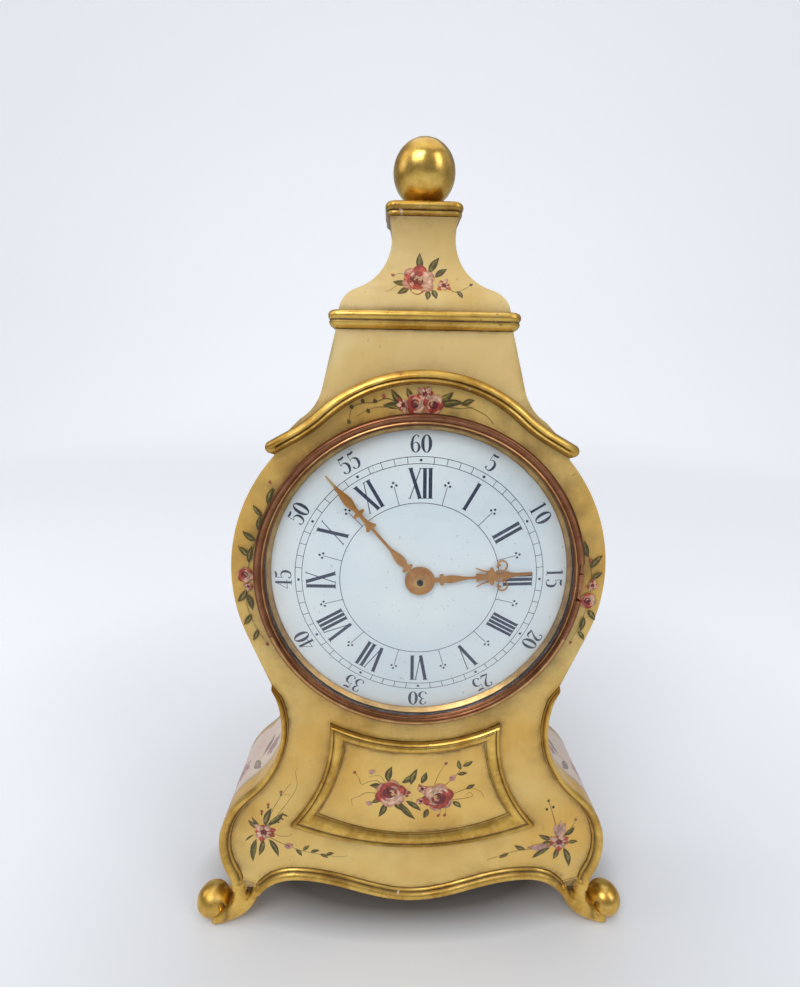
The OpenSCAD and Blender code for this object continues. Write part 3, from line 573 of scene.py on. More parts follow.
def floor_finish(f):
    """A matt floor that keeps shadows, with a glow that only the camera sees; its colour turns darker
    under the case, a painted shadow.
    """
    # Painted shadow: the floor's colour turns dark grey round a spot under the case.
    under = f.add("ShaderNodeMapping", Vector=f.place, Location=(0.0, -0.25, 0.0),
                  Scale=(10.5, 31.0, 0.0))
    from_shadow_middle = f.sum("MULTIPLY", f.length(under.outputs["Vector"]), 0.5)
    pale = tuple(bpy.context.scene.clock_stage.floor)
    ground = f.mix(f.ramp(from_shadow_middle, (0.36, 0.0), (0.62, 1.0)), "767472", pale)
    f.set(Base_Color=ground, Roughness=0.85, Specular_IOR_Level=0.1)
    lit = f.ramp(f.sum("MULTIPLY", f.length(f.place), 0.5),
                 (0.05, 0.0), (0.11, 0.15), (0.22, 0.28), (0.5, 0.37), (0.9, 0.5))
    f.set(Emission_Color=(0.94, 0.965, 1.0), Emission_Strength=f.sum("MULTIPLY", f.seen(), lit))


def enamel(f):
    """Cool white enamel with a faint cloudiness and fine dust, browner towards its rim."""
    base = f.ramp(f.noise(20, 3, 0.5), (0.3, "enamel"), (0.7, "e6eff2"))
    rim_brown = f.sum("MULTIPLY", f.mark("shade_and_dirt"), f.ramp(f.noise(70, 4), (0.3, 0.25), (0.6, 0.8)), True)
    base = f.mix(rim_brown, base, "c4a982")
    dust = f.ramp(f.noise(650, 2, 0.5), (0.68, 0.0), (0.74, 0.4))
    f.set(Base_Color=f.mix(dust, base, "8b8f93"), Roughness=0.2, Coat_Weight=0.6, Coat_Roughness=0.06,
          Normal=f.bump(f.noise(70, 2), 0.00006, 0.3))


def dial_print(f):
    """Blue black ink, slightly uneven."""
    f.set(Base_Color=f.ramp(f.noise(900, 3, 0.6), (0.35, "print_ink"), (0.75, "33415e")),
          Roughness=f.ramp(f.noise(300, 2), (0.3, 0.3), (0.7, 0.5)))


def flower_paint(f):
    """Thin oil colour with the brush's streaks in it."""
    streaks = f.noise(520, 3, 0.6, stretch=(1, 1, 0.6))
    tone = f.mix(f.ramp(streaks, (0.40, 0.5), (0.62, 0.0)), f.mark("tint", "Color"), "4a2a14", "MULTIPLY")
    tone = f.mix(f.ramp(streaks, (0.60, 0.0), (0.80, 0.35)), tone, "e3c48e")
    f.set(Base_Color=tone, Roughness=0.42, Coat_Weight=0.2, Coat_Roughness=0.3,
          Normal=f.bump(streaks, 0.00005, 0.4))


def metal(f, light, dark, rough, stain_and_shade, amount=0.5, scale=180):
    """Worn metal: two tones, fine grain, stains in clouds, and the same dark colour where marked, which
    is painted shade with some dirt.
    """
    tone = f.ramp(f.noise(scale, 4, 0.6), (0.3, dark), (0.68, light))
    stained = f.ramp(f.noise(45, 4, 0.65, shift=(3, 3, 1)), (0.5, 0.0), (0.68, amount))
    # Marked places are darkened to the stain colour: painted shade, as on the ring's slopes and in the
    # cone's crease.
    tone = f.mix(f.sum("MAXIMUM", stained, f.mark("shade_and_dirt")), tone, stain_and_shade)
    f.set(Base_Color=tone, Metallic=1.0, Normal=f.bump(f.noise(700, 2, 0.5), 0.00003, 0.4),
          Roughness=f.ramp(f.noise(120, 3), (0.3, rough), (0.75, rough + 0.16)))


def long_hand(f):
    """Bronze that turns to pale gold along the tip."""
    reach = f.add("ShaderNodeVectorMath", {"operation": "DISTANCE"})
    f.put(reach.inputs[0], f.place)
    f.put(reach.inputs[1], (0.0, (DIAL_Y - 3.0) / 1000, DIAL_Z / 1000))
    tone = f.ramp(f.noise(260, 4, 0.6), (0.3, "hand"), (0.68, "cc9350"))
    tip = f.ramp(f.sum("MULTIPLY", reach.outputs["Value"], 10.0), (0.515, 0.0), (0.53, 1.0))
    f.set(Base_Color=f.mix(tip, tone, "dcbf86"), Metallic=0.9, Roughness=0.34,
          Normal=f.bump(f.noise(700, 2, 0.5), 0.00003, 0.4))


def glass(f):
    """Clear glass that lets the lamps through."""
    f.set(Base_Color=(1.0, 1.0, 1.0), Roughness=0.02, IOR=1.45, Transmission_Weight=1.0)
    shadow = f.add("ShaderNodeLightPath").outputs["Is Shadow Ray"]
    clear = f.add("ShaderNodeBsdfTransparent", Color=(0.97, 0.985, 0.985))
    both = f.add("ShaderNodeMixShader", Fac=shadow)
    f.put(both.inputs[1], f.shader.outputs["BSDF"])
    f.put(both.inputs[2], clear.outputs["BSDF"])
    f.put(f.tree.nodes["Material Output"].inputs["Surface"], both.outputs["Shader"])


def wood(f):
    """Bare softwood, browned by age, with its grain upright."""
    grain = f.noise(60, 6, 0.6, stretch=(3.2, 3.2, 0.22), bend=0.4)
    tone = f.ramp(grain, (0.3, "8a5d33"), (0.5, "b5854f"), (0.72, "c99c66"))
    tone = f.mix(f.ramp(f.noise(18, 3), (0.45, 0.0), (0.75, 0.45)), tone, "6e4524")
    f.set(Base_Color=tone, Roughness=0.62, Normal=f.bump(grain, 0.00025, 0.5))


def moulded(f, base, other, rough=0.42, scale=500):
    """Moulded plastic, rubber or board: a fine texture and slight differences of tone."""
    fine = f.noise(scale, 2, 0.5)
    f.set(Base_Color=f.ramp(f.noise(60, 3), (0.35, base), (0.7, other)),
          Roughness=f.ramp(fine, (0.3, rough), (0.7, rough + 0.12)), Normal=f.bump(fine, 0.00005, 0.5))


def winding(f):
    """Fine copper wire, turn by turn."""
    wave = f.add("ShaderNodeTexWave", {"bands_direction": "X"}, Vector=f.place, Scale=900.0)
    turns = wave.outputs["Fac"]
    f.set(Base_Color=f.mix(turns, "8c3d14", "d07a3c"), Roughness=0.32, Metallic=0.6,
          Normal=f.bump(turns, 0.0001))


def cell_skin(f):
    """A plain battery: dark sleeve with a copper coloured end band."""
    along = f.add("ShaderNodeSeparateXYZ", Vector=f.place).outputs["X"]
    band = f.ramp(f.sum("MULTIPLY_ADD", along, 10.0), (0.62, 0.0), (0.63, 1.0))
    sleeve = f.ramp(f.noise(80, 2), (0.3, "1d1f24"), (0.7, "2a2d33"))
    f.set(Base_Color=f.mix(band, sleeve, "b9783f"), Roughness=0.34, Metallic=0.4)


# Each finish: its maker and what the maker is told
FINISHES = {
    "cream_paint": (aged_paint, "cream", "efcf7e", "dba63c", "5f3f16"),
    "panel_paint": (aged_paint, "eabb58", "f0ca72", "dca53c", "5a3a12"),
    "crown_paint": (aged_paint, "dbba70", "e4ca8c", "cfa546", "6b4a1c"),
    "side_paint": (side_paint,),
    "gilding": (gilding,),
    "worn_gilding": (gilding, 0.05),
    "ball_gilding": (gilding, -0.05, 0.2),
    "floor": (floor_finish,),
    "enamel": (enamel,),
    "dial_print": (dial_print,),
    "flower_paint": (flower_paint,),
    "glass": (glass,),
    "cone_brass": (metal, "dcb878", "b98f4e", 0.3, "7a5326", 0.55),
    "copper_ring": (metal, "copper", "8f5c40", 0.24, "5c3322", 0.45),
    # A paler copper for the ring's lit crests: painted highlight.
    "copper_highlight": (metal, "e2b87c", "b9834e", 0.22, "8f5c40", 0.3),
    "brass": (metal, "d9b25f", "a67c35", 0.3, "6b4f22"),
    "steel": (metal, "c9ccd0", "8f9399", 0.3, "6b5a4a", 0.25),
    # Near-black steel for the minute arbor, so that the nut's hole looks dark: painted shade.
    "hole_shade_steel": (metal, "2b211b", "120d0b", 0.45, "0c0908"),
    "hand_bronze": (metal, "cc9350", "hand", 0.34, "8a5128", 0.35, 260),
    "nut_brass": (metal, "e2bd7c", "b3803f", 0.25, "7a4a22"),
    "long_hand": (long_hand,),
    "bare_wood": (wood,),
    "black_plastic": (moulded, "1b1c1e", "292a2d"),
    "white_plastic": (moulded, "e6e4dc", "d6d3c8", 0.36),
    "rubber": (moulded, "151515", "222222", 0.7),
    "board_green": (moulded, "1f5a34", "2b7043", 0.3, 260),
    "coil_copper": (winding,),
    "battery_skin": (cell_skin,),
}
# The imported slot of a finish, where it hasn't the same name
SLOTS = {"crown_paint": "cream_paint", "panel_paint": "cartouche_paint", "worn_gilding": "gilding",
         "ball_gilding": "gilding", "dial_print": "enamel", "cone_brass": "rehaut_brass",
         "long_hand": "hand_bronze", "nut_brass": "hand_bronze"}
finishes = {}


def finish(name):
    """A finish by its name, made once."""
    if name not in finishes:
        made = Finish(name)
        maker, *values = FINISHES[name]
        maker(made, *values)
        finishes[name] = made.material
    return finishes[name]


# The case

def bow(start, end, sag, count=20):
    """A shallow curve that bulges to the left of its direction."""
    p, q = np.asarray(start, float), np.asarray(end, float)
    d = (q - p) / np.linalg.norm(q - p)
    s = np.linspace(0, 1, count + 1)[:, None]
    return p + (q - p) * s + 4 * sag * s * (1 - s) * np.array([-d[1], d[0]])


# The cartouche's outer and inner outline: the radius of its hollow top, the upper corner's x, the
# lower corner's x and z, the lowest z in the middle, and how far its sides bulge inwards
FRAME_OUT = (79.9, 38.3, 58.0, -125.69, -137.79, 5.75)
FRAME_IN = (86.0, 31.5, 44.4, -118.39, -129.59, 2.3)
TOP_STEPS = 40


def cartouche_line(top_r, corner_x, low_half, low_z, mid_z, sag):
    """The cartouche's outline, clockwise from its upper left corner, always 122 points."""
    a = math.degrees(math.acos(corner_x / top_r))
    top = arc((0, 0), top_r, -180 + a, -a, TOP_STEPS)
    low = np.array([low_half, low_z])
    right = bow(top[-1], low, -sag)
    bottom = bow(low, low * [-1, 1], low_z - mid_z, 40)
    return np.vstack([top[:-1], right[:-1], bottom[:-1], flipped(right)[:-1]])


def near(flat, *terms):
    """Painted shade, with some brown dirt, that lies against drawn lines: each term is a line, its
    strength and its width.
    """
    mirror = np.c_[np.abs(flat[:, 0]), flat[:, 1]]
    total = np.zeros(len(flat))
    for line, strength, width in terms:
        total = np.maximum(total, strength * np.exp(-distance(mirror, line) / width))
    return total


class CLOCK_OT_front(bpy.types.Operator):
    """The painted front board with its round opening, and the ledge that the dial rests on"""
    bl_idname = "clock.front"
    bl_label = "Front board"

    def execute(self, context):
        notch = 12.6
        outline = np.vstack([brow_line(), side_line(), apron_line(), flipped(side_line())])
        # The round opening, with a notch at its right for the ring's hinge
        hole = np.vstack([arc((0, 0), HOLE_R, notch, 360 - notch, 150), [(68.5, -14.5), (68.5, 14.5)]])
        board = slab(outline, 0.0, BOARD_T, [hole], 1.7)
        flat = board[0][:, [0, 2]]
        edge = edge_line()
        base = edge + sideways(edge) * edge_widths(edge, context.scene.clock_sizes.edge_width)[:, None]
        ring = arc((0, 0), RING_R, -90, 90, 60)
        cartouche = cartouche_line(*FRAME_OUT)
        # Painted shade, with some brown dirt, along the gilt edge, the arch, the ring, the cartouche, the
        # apron and the outline.
        shade_and_dirt = near(flat, (base, 0.95, 1.5), (base, 0.36, 6.0), (right_brow(), 0.55, 4.0),
                     (ring, 0.85, 2.0), (ring, 0.62, 12.0), (cartouche, 0.85, 1.2),
                     (cartouche[:TOP_STEPS + 1], 0.95, 2.2), (cartouche, 0.36, 6.0),
                     (apron_line(6.2), 0.8, 0.9), (apron_line(6.0), 0.26, 4.0), (side_line(), 0.30, 3.0))
        # Painted shade on the board below the ring.
        ring_shadow = np.clip((-58 - flat[:, 1]) / 8, 0, 1) * (np.hypot(*flat.T) < 77)
        shade_and_dirt = np.maximum(shade_and_dirt, 0.45 * ring_shadow)
        ledge = turned([(60, 3), (66.8, 3), (66.8, BOARD_T), (60, BOARD_T)], 120)
        stop = skin([[(x, y, z) for x, y in ((65.8, 0.62), (68.7, 0.62), (68.7, 7.9), (65.8, 7.9))]
                     for z in (-14.6, 14.6)])
        shape = joined(board, ledge, stop)
        build("front_face", shape, ["cream_paint", "bare_wood"], stands_for=["front_board"],
              shade_and_dirt=np.r_[shade_and_dirt, np.full(len(shape[0]) - len(shade_and_dirt), 0.5)],
              pick=lambda x, y, z: 1 if y > BOARD_T - 0.05 else 0)
        return {"FINISHED"}


class CLOCK_OT_sides(bpy.types.Operator):
    """The two painted side panels that follow the waisted outline"""
    bl_idname = "clock.sides"
    bl_label = "Side panels"

    def execute(self, context):
        profile = [(0.0, y) for y in np.linspace(BOARD_T, BACK_Y - 1.2, 18)]
        profile += [(0.35, 47.6), (1.0, BACK_Y), (SIDE_T, BACK_Y), (SIDE_T, BOARD_T)]
        # A wedge closes the corner between the panel's upper end and the crown
        corner = [(58.2, 50.2), (52.6, 45.6), (49.6, 59.0), (58.8, 54.3)]
        wedge = skin([[(x, y, z) for x, z in corner] for y in (7.95, 47.6)])
        points, faces = joined(sweep(side_line(0.0, 44), profile), wedge)
        # Painted shade at the crease with the front board and in the corner under the crown, and darker
        # towards the bottom.
        front = np.exp(-(points[:, 1] - BOARD_T) / 1.6) * 0.6
        ends = np.exp(-(50.8 - points[:, 2]) / 2.5) * 0.6
        low = np.exp(-(points[:, 2] + 152.0) / 4.0) * 0.7
        shade_and_dirt = np.clip(np.maximum(np.maximum(front, ends), low), 0, 1)
        for side, shape in (("right", (points, faces)), ("left", mirrored(points, faces))):
            build(f"side_panel_{side}", shape, "side_paint", stands_for=[f"side_{side}"],
                  shade_and_dirt=shade_and_dirt)
        return {"FINISHED"}


# The crown's edges: where its blocks and mouldings meet
CROWN_TOP = 99.3
ROOF_LOW = 106.6
ROOF_TOP = 145.0
CAP_TOP = 151.0
ROOF_HALF = 33.4


def roof_half(z):
    """Half the roof's width at a height: round at its foot, hollow at its neck."""
    if z < 115.43:
        return 21.5 + math.sqrt(max(144 - (z - 104.7) ** 2, 0))
    return 38.07 - math.sqrt(625 - (z - 137.8) ** 2)


class CLOCK_OT_crown(bpy.types.Operator):
    """The painted crown: its hollow-sided lower block and its curved roof"""
    bl_idname = "clock.crown"
    bl_label = "Crown"

    def execute(self, context):
        cove_c = np.array([39.305, 77.0]) + 18 * turn_to(12.65)
        right = np.vstack([[(34.3, CROWN_TOP)], arc(cove_c, 18, 192.65, 240, 20), [BROW_TIP]])
        outline = np.vstack([right, brow_line()[::-1], flipped(right)])

        def face(flat):
            return np.interp(flat[:, 1], [72, 77, CROWN_TOP], [0, 1.5, 6.5])

        points, faces = slab(outline, face, BACK_Y, grid=1.8)
        # Painted shade along the arch moulding, under the mid moulding and along the block's side
        # outline.
        shade_and_dirt = near(points[:, [0, 2]], (right_brow(), 0.85, 3.2),
                     ([(0, CROWN_TOP), (36, CROWN_TOP)], 0.7, 1.1), (right, 0.5, 1.4))
        build("crown_block", (points, faces), "crown_paint", stands_for=["crown_lower"],
              shade_and_dirt=shade_and_dirt * (points[:, 1] < 20))

        heights = np.r_[ROOF_LOW, np.linspace(107.3, 144.4, 44), ROOF_TOP]
        points, faces = girdle(ROOF_HALF, 8.0, [(roof_half(z) - ROOF_HALF, z) for z in heights], 0.9)
        # Painted shade at the roof's foot over the mid moulding and under the cap.
        low, high = points[:, 2] - ROOF_LOW, ROOF_TOP - points[:, 2]
        cap_shadow = np.exp(-high / 2.0) + 0.42 * np.exp(-high / 10)
        build("roof_block", (points, faces), "crown_paint", stands_for=["crown_roof"],
              shade_and_dirt=np.maximum(0.8 * np.exp(-low / 1.4), np.minimum(cap_shadow, 1)), sharp=50)
        return {"FINISHED"}


# Gilt mouldings of the crown: steps outwards, z, and how dark each step is painted: shade in its hollows
# and undersides, with some dirt
MID_NOSE = [(0, CROWN_TOP, 0.9), (0.9, 99.35, 0.6), (1.7, 99.7, 0.25), (2.5, 100.3, 0.1),
            (3.1, 101.2, 0.1), (3.3, 102, 0.4), (3, 102.5, 1), (2.95, 102.8, 0.9), (3.3, 103.2, 0.2),
            (3.6, 104, 0), (3.55, 104.9, 0), (3, 105.8, 0.05), (2, 106.3, 0.25), (1, 106.5, 0.6),
            (0, ROOF_LOW, 0.9)]
CAP_NOSE = [(0, ROOF_TOP, 1), (1.3, ROOF_TOP, 0.9), (2.1, 145.4, 0.5), (2.5, 146.1, 0.35),
            (2.4, 146.8, 0.5), (2.1, 147.2, 1), (2.6, 147.6, 0.6), (3, 148.6, 0.05), (2.85, 149.6, 0),
            (2.1, 150.5, 0), (1, 150.95, 0.15), (0, CAP_TOP, 0.4)]


class CLOCK_OT_crown_mouldings(bpy.types.Operator):
    """The gilt mouldings under the roof and on its top, and the ball"""
    bl_idname = "clock.crown_mouldings"
    bl_label = "Crown mouldings and ball"

    def execute(self, context):
        for name, node, half, front, nose, corner in (
                ("mid_band", "mid_moulding", 33.85, 7.7, MID_NOSE, 1.4),
                ("cap_band", "crown_cap", 13.0, 29.0, CAP_NOSE, 1.2)):
            points, faces = girdle(half, front, [(out, z) for out, z, _ in nose], corner)
            build(name, (points, faces), "worn_gilding", stands_for=[node],
                  shade_and_dirt=np.repeat([dark for _, _, dark in nose], len(points) // len(nose)))

        ball_r, ball_y, ball_z = 12.9, 37.5, 163.9
        profile = [(0.0, CAP_TOP), (5.4, CAP_TOP), (5.5, 151.5), (4.9, 152.0)]
        profile += [(ball_r * math.cos(t), ball_z + ball_r * math.sin(t))
                    for t in np.radians(np.linspace(-66, 89, 56))]
        profile += [(0.0, 176.8)]
        rings = [[(r * math.cos(a), ball_y + r * math.sin(a), z) for a in around(96)] for r, z in profile]
        points, faces = skin(rings, ends=False)
        # Painted shade at the ball's foot, where it sits on the cap.
        build("ball", (points, faces), "ball_gilding", stands_for=["finial_ball"],
              shade_and_dirt=np.exp(-(points[:, 2] - CAP_TOP) / 0.9), sharp=60)
        return {"FINISHED"}


# Gilt mouldings of the case: steps across, y, and how dark each step is painted: shade in its hollows,
# with some dirt
ARCH_PROFILE = [(-2.75, 0, 0.9), (-2.75, -1.3, 0.5), (-2.45, -2.6, 0.1), (-1.7, -3.6, 0),
                (-0.8, -4, 0), (-0.05, -3.8, 0.1), (0.25, -3.3, 0.7), (0.45, -3, 1), (0.75, -3.1, 0.5),
                (1.25, -3.3, 0.05), (1.75, -3, 0.1), (2.2, -2.2, 0.35), (2.5, -1.2, 0.65), (2.75, 0, 1)]
EDGE_PROFILE = [(0, 0.15, 0.3), (0, -1.3, 0.1), (0.07, -2.2, 0), (0.2, -2.8, 0), (0.36, -3, 0),
                (0.52, -2.75, 0.05), (0.64, -2.1, 0.3), (0.72, -1.45, 0.8), (0.78, -1.2, 0.9),
                (0.85, -1.25, 0.3), (0.92, -0.95, 0.2), (0.97, -0.4, 0.8), (1, 0.05, 1)]


def moulding(line, profile, widths=None, round_ends=0.0):
    """A gilt moulding and the painted shade of its hollows."""
    points, faces = sweep(line, [(u, y) for u, y, _ in profile], widths, round_ends)
    return points, faces, np.tile([dark for _, _, dark in profile], len(points) // len(profile))


class CLOCK_OT_mouldings(bpy.types.Operator):
    """The gilt arch over the dial and the mouldings along the case's edges"""
    bl_idname = "clock.mouldings"
    bl_label = "Edge mouldings"

    def execute(self, context):
        points, faces, shade_and_dirt = moulding(brow_line(), ARCH_PROFILE, round_ends=1.6)
        depth = [(0.3, -3.9), (1.3, -3.6), (2.1, -2.9), (2.45, -1.8), (2.5, -0.5)]
        depth += [(2.5, y) for y in np.linspace(1.5, 46.4, 16)] + [(2.1, 47.5), (1.2, BACK_Y)]
        bars = [skin([[(x + r * math.cos(a), y, 54.2 + r * 0.95 * math.sin(a)) for a in around(20)]
                      for r, y in depth]) for x in (59.0, -59.0)]
        shape = joined((points, faces), *bars)
        build("arch_band", shape, "worn_gilding", stands_for=["eyebrow_moulding"],
              shade_and_dirt=np.r_[shade_and_dirt, np.full(len(shape[0]) - len(shade_and_dirt), 0.12)])

        line = edge_line()
        widths = edge_widths(line, context.scene.clock_sizes.edge_width)
        into_foot = [(88.05, -157.2), (87.75, -159.2), (87.55, -161.2), (87.4, -163.2)]
        points, faces, shade_and_dirt = moulding(np.vstack([line, into_foot]), EDGE_PROFILE,
                                        np.r_[widths, 5.9, 5.8, 5.5, 5.0], 1.6)
        for name, shape in (("right", (points, faces)), ("left", mirrored(points, faces))):
            build(f"edge_band_{name}", shape, "gilding", stands_for=[f"edge_moulding_{name}"],
                  shade_and_dirt=shade_and_dirt)
        into_foot = arc(OGEE_C, OGEE_R, 33, 50, 6)
        line = drop_repeats(np.vstack([into_foot, apron_line(), flipped(into_foot)]))
        widths = np.interp(np.abs(line[:, 0]), [66.0, 73.8], [6.0, 4.6])
        points, faces, shade_and_dirt = moulding(line, EDGE_PROFILE, widths, 1.4)
        build("apron_band", (points, faces), "gilding", stands_for=["apron_moulding"],
              shade_and_dirt=shade_and_dirt)
        return {"FINISHED"}


# The cartouche frame: how far across, how high, and how dark each step is painted: shade in its hollows,
# with some dirt
FRAME_STEPS = [(0, 0, 1), (0, 0.5, 0.5), (0.05, 0.82, 0.1), (0.13, 0.98, 0), (0.21, 0.86, 0.3),
               (0.26, 0.74, 0.95), (0.31, 0.84, 0.4), (0.42, 1, 0), (0.58, 1, 0), (0.72, 0.86, 0.05),
               (0.83, 0.62, 0.2), (0.89, 0.5, 0.8), (0.94, 0.52, 0.3), (1, 0.38, 0.9), (1, 0, 1)]


class CLOCK_OT_cartouche(bpy.types.Operator):
    """The raised gilt frame on the base and the painted panel inside it"""
    bl_idname = "clock.cartouche"
    bl_label = "Cartouche"

    def execute(self, context):
        proud = context.scene.clock_sizes.frame_proud
        outer, inner = cartouche_line(*FRAME_OUT), cartouche_line(*FRAME_IN)
        rings = []
        for s, height, _ in FRAME_STEPS:
            flat = outer * (1 - s) + inner * s
            rings.append(np.c_[flat[:, 0], np.full(len(flat), -proud * height), flat[:, 1]])
        build("cartouche_band", skin(rings, ends=False), "gilding", stands_for=["cartouche_frame"],
              shade_and_dirt=np.repeat([dark for _, _, dark in FRAME_STEPS], len(outer)),
              closed=False)
        points, faces = slab(inner * [0.999, 1.0], -1.0, -0.02, grid=1.4)
        # Painted shade on the panel inside the frame, along its arc, sides and bottom.
        low_part = inner[20:100]
        build("cartouche_board", (points, faces), "panel_paint", stands_for=["cartouche_panel"],
              shade_and_dirt=near(points[:, [0, 2]], (low_part, 0.9, 1.3), (low_part, 0.38, 6.0)))
        return {"FINISHED"}


def ridge(flat, path):
    """How high a rounded band stands at each point; the path holds x, z and half width."""
    best = np.zeros(len(flat))
    path = smooth(path, 5)
    for p, q in zip(path[:-1], path[1:]):
        along = q[:2] - p[:2]
        t = np.clip(((flat - p[:2]) @ along) / max(along @ along, 1e-9), 0, 1)
        gap = np.linalg.norm(flat - p[:2] - t[:, None] * along, axis=1) / (p[2] + (q[2] - p[2]) * t)
        best = np.maximum(best, np.sqrt(np.clip(1 - gap ** 2, 0, 1)) ** 0.8)
    return best


# The two bands of a foot and its outline: x, z and half width, x and z
OUTER_BAND = [(85.7, -152.6, 2.9), (85.1, -157.5, 3.1), (84.2, -162, 3.2), (83.9, -166, 3.4),
              (84.4, -170.5, 3.9), (86.6, -175.6, 4), (90.4, -179.6, 3.6), (95.2, -182.3, 2.5),
              (99.4, -183.2, 1.8)]
INNER_BAND = [(66.2, -156.9, 3), (71.3, -160.2, 2.6), (74.1, -163, 2.3), (76.4, -166.1, 2.2),
              (78.5, -170.4, 2.3), (82.6, -175.4, 2.6), (87.2, -178.9, 2.6)]
FOOT_OUTSIDE = [(87.8, -158.8), (87.4, -162.9), (87.6, -168), (89.3, -173), (93, -176.9), (98.5, -179.6)]
KNOB_X, KNOB_Z, KNOB_R = 99.2, -176.838, 8.1
FLOOR_Z = -184.55
RELIEF = 3.0


def rounded(gap):
    """The height of a quarter round at a distance from its edge, both as parts of 1."""
    return np.sqrt(1 - (1 - np.clip(gap, 0, 1)) ** 2)


def foot_knob(middle):
    """The knob with the groove that curls round it, and the painted shade in the groove."""
    rings, dark = [], []
    angles = around(72)
    bend = np.clip(np.cos(angles - math.radians(222)) * 1.9, 0, 1)
    for t in np.radians(np.r_[np.linspace(-89, -20, 40), np.linspace(-16, 88, 26)]):
        r = KNOB_R * math.cos(t)
        groove = math.exp(-((r - 5.8) / 0.75) ** 2) * bend if t < 0 else 0 * bend
        y = middle + 7.9 * math.sin(t) + 1.6 * groove
        z = np.maximum(KNOB_Z + r * np.sin(angles), FLOOR_Z)
        rings.append(np.c_[KNOB_X + r * np.cos(angles), y, z])
        dark.append(0.95 * groove)
    return skin(rings), np.concatenate(dark)


class CLOCK_OT_feet(bpy.types.Operator):
    """Four gilt scroll feet: two bands meet in a hollow, run down and curl round a knob"""
    bl_idname = "clock.feet"
    bl_label = "Feet"

    def execute(self, context):
        leg = np.vstack([smooth([JOINT_OUT, *FOOT_OUTSIDE], 4), [(99.2, -182.4)],
                         arc((98.4, -159.588), 25, 270, 211, 26), arc(OGEE_C, OGEE_R, 18, 50, 10)])
        rim = leg[:-1]

        def relief(flat):
            """How high the foot's face stands, as a part of the full relief."""
            height = np.maximum(ridge(flat, OUTER_BAND), ridge(flat, INNER_BAND))
            height = np.maximum(height, 0.78 * np.clip((-166.0 - flat[:, 1]) / 5.0, 0, 1))
            joint = np.clip(distance(flat, [JOINT_IN, JOINT_OUT]) / 3.0, 0, 1)
            return height * rounded(distance(flat, rim) / 1.7) * joint ** 0.7

        for row, kind, front in (("front", "scroll", -3.0), ("rear", "rear", 33.0)):
            points, faces = slab(leg, lambda flat: front + RELIEF * (1 - relief(flat)),
                                 lambda flat: front + 16 - 1.5 * (1 - rounded(distance(flat, rim) / 1.5)),
                                 grid=0.9)
            height = (front + RELIEF - points[:, 1]) / RELIEF
            # Painted shade in the low parts of the relief and in the groove round the knob.
            hollow = np.clip(1.1 - 3.2 * height, 0, 1) * (points[:, 1] < front + 3.4)
            hollow *= np.clip((points[:, 2] + 171) / 3, 0, 1)
            curl = np.hypot(points[:, 0] - KNOB_X, points[:, 2] - KNOB_Z)
            hollow = np.maximum(hollow, 0.85 * np.exp(-np.abs(curl - 8.6) / 0.9) * (points[:, 2] > -181))
            knob, groove = foot_knob(front + 7.8)
            shape = joined((points, faces), knob)

            def wedge(x, y, z, top=front):
                """The painted wedge between the two bands."""
                return 1 if top + 2.2 < y < top + 3.05 and z > -163.5 else 0

            for name, one in (("right", shape), ("left", mirrored(*shape))):
                build(f"{row}_leg_{name}", one, ["gilding", "cream_paint"],
                      stands_for=[f"{kind}_foot_{name}"],
                      shade_and_dirt=np.r_[hollow, groove], sharp=50, pick=wedge)
        return {"FINISHED"}


# Dial, ring and glass

# The middle of the dial's face, and what the square of a distance is divided by to bend dial and glass
DOME_TOP = -1.7857
DOME_BEND = 1400
GLASS_BEND = 603.57


def dome(points, lift=0.0):
    """Height of the dial's domed face over its middle, as y, lifted towards the viewer."""
    flat = np.asarray(points, float)
    return DOME_TOP + (flat[:, 0] ** 2 + flat[:, 1] ** 2) / DOME_BEND - lift


class CLOCK_OT_dial(bpy.types.Operator):
    """The domed enamel dial and the brass cone round it"""
    bl_idname = "clock.dial"
    bl_label = "Dial and cone"

    def execute(self, context):
        radii = np.r_[4.1, np.linspace(5.5, 65.2, 34), 65.7, DIAL_R]
        front = [(r, DOME_TOP + r * r / DOME_BEND + (0.35 if r > 65.9 else 0.08 if r > 65.6 else 0))
                 for r in radii]
        back = [(r, DOME_TOP + r * r / DOME_BEND + 1.2) for r in radii[::-1]]
        points, faces = turned(front + back, 128)
        # The mark makes the enamel browner towards its rim.
        r = np.hypot(points[:, 0], points[:, 2])
        build("enamel_dial", (points, faces), "enamel", stands_for=["dial"],
              shade_and_dirt=np.exp(-(DIAL_R - r) / 4.5))
        deep = context.scene.clock_sizes.cone_depth
        cone = [(61.7, 0.62), (61.75, 0.5), (62.05, 0.2), (62.5, -0.35), (62.95, -0.9), (63.15, -deep),
                (63.4, -deep), (63.4, -0.1), (66.2, -0.1), (66.2, 0.8), (63.6, 0.8)]
        points, faces = turned(cone, 180)
        # Painted shade in the crease where the cone meets the dial.
        r = np.hypot(points[:, 0], points[:, 2])
        build("dial_cone", (points, faces), "cone_brass", stands_for=["rehaut"],
              shade_and_dirt=0.7 * np.exp(-(r - 61.7) / 0.3))
        return {"FINISHED"}


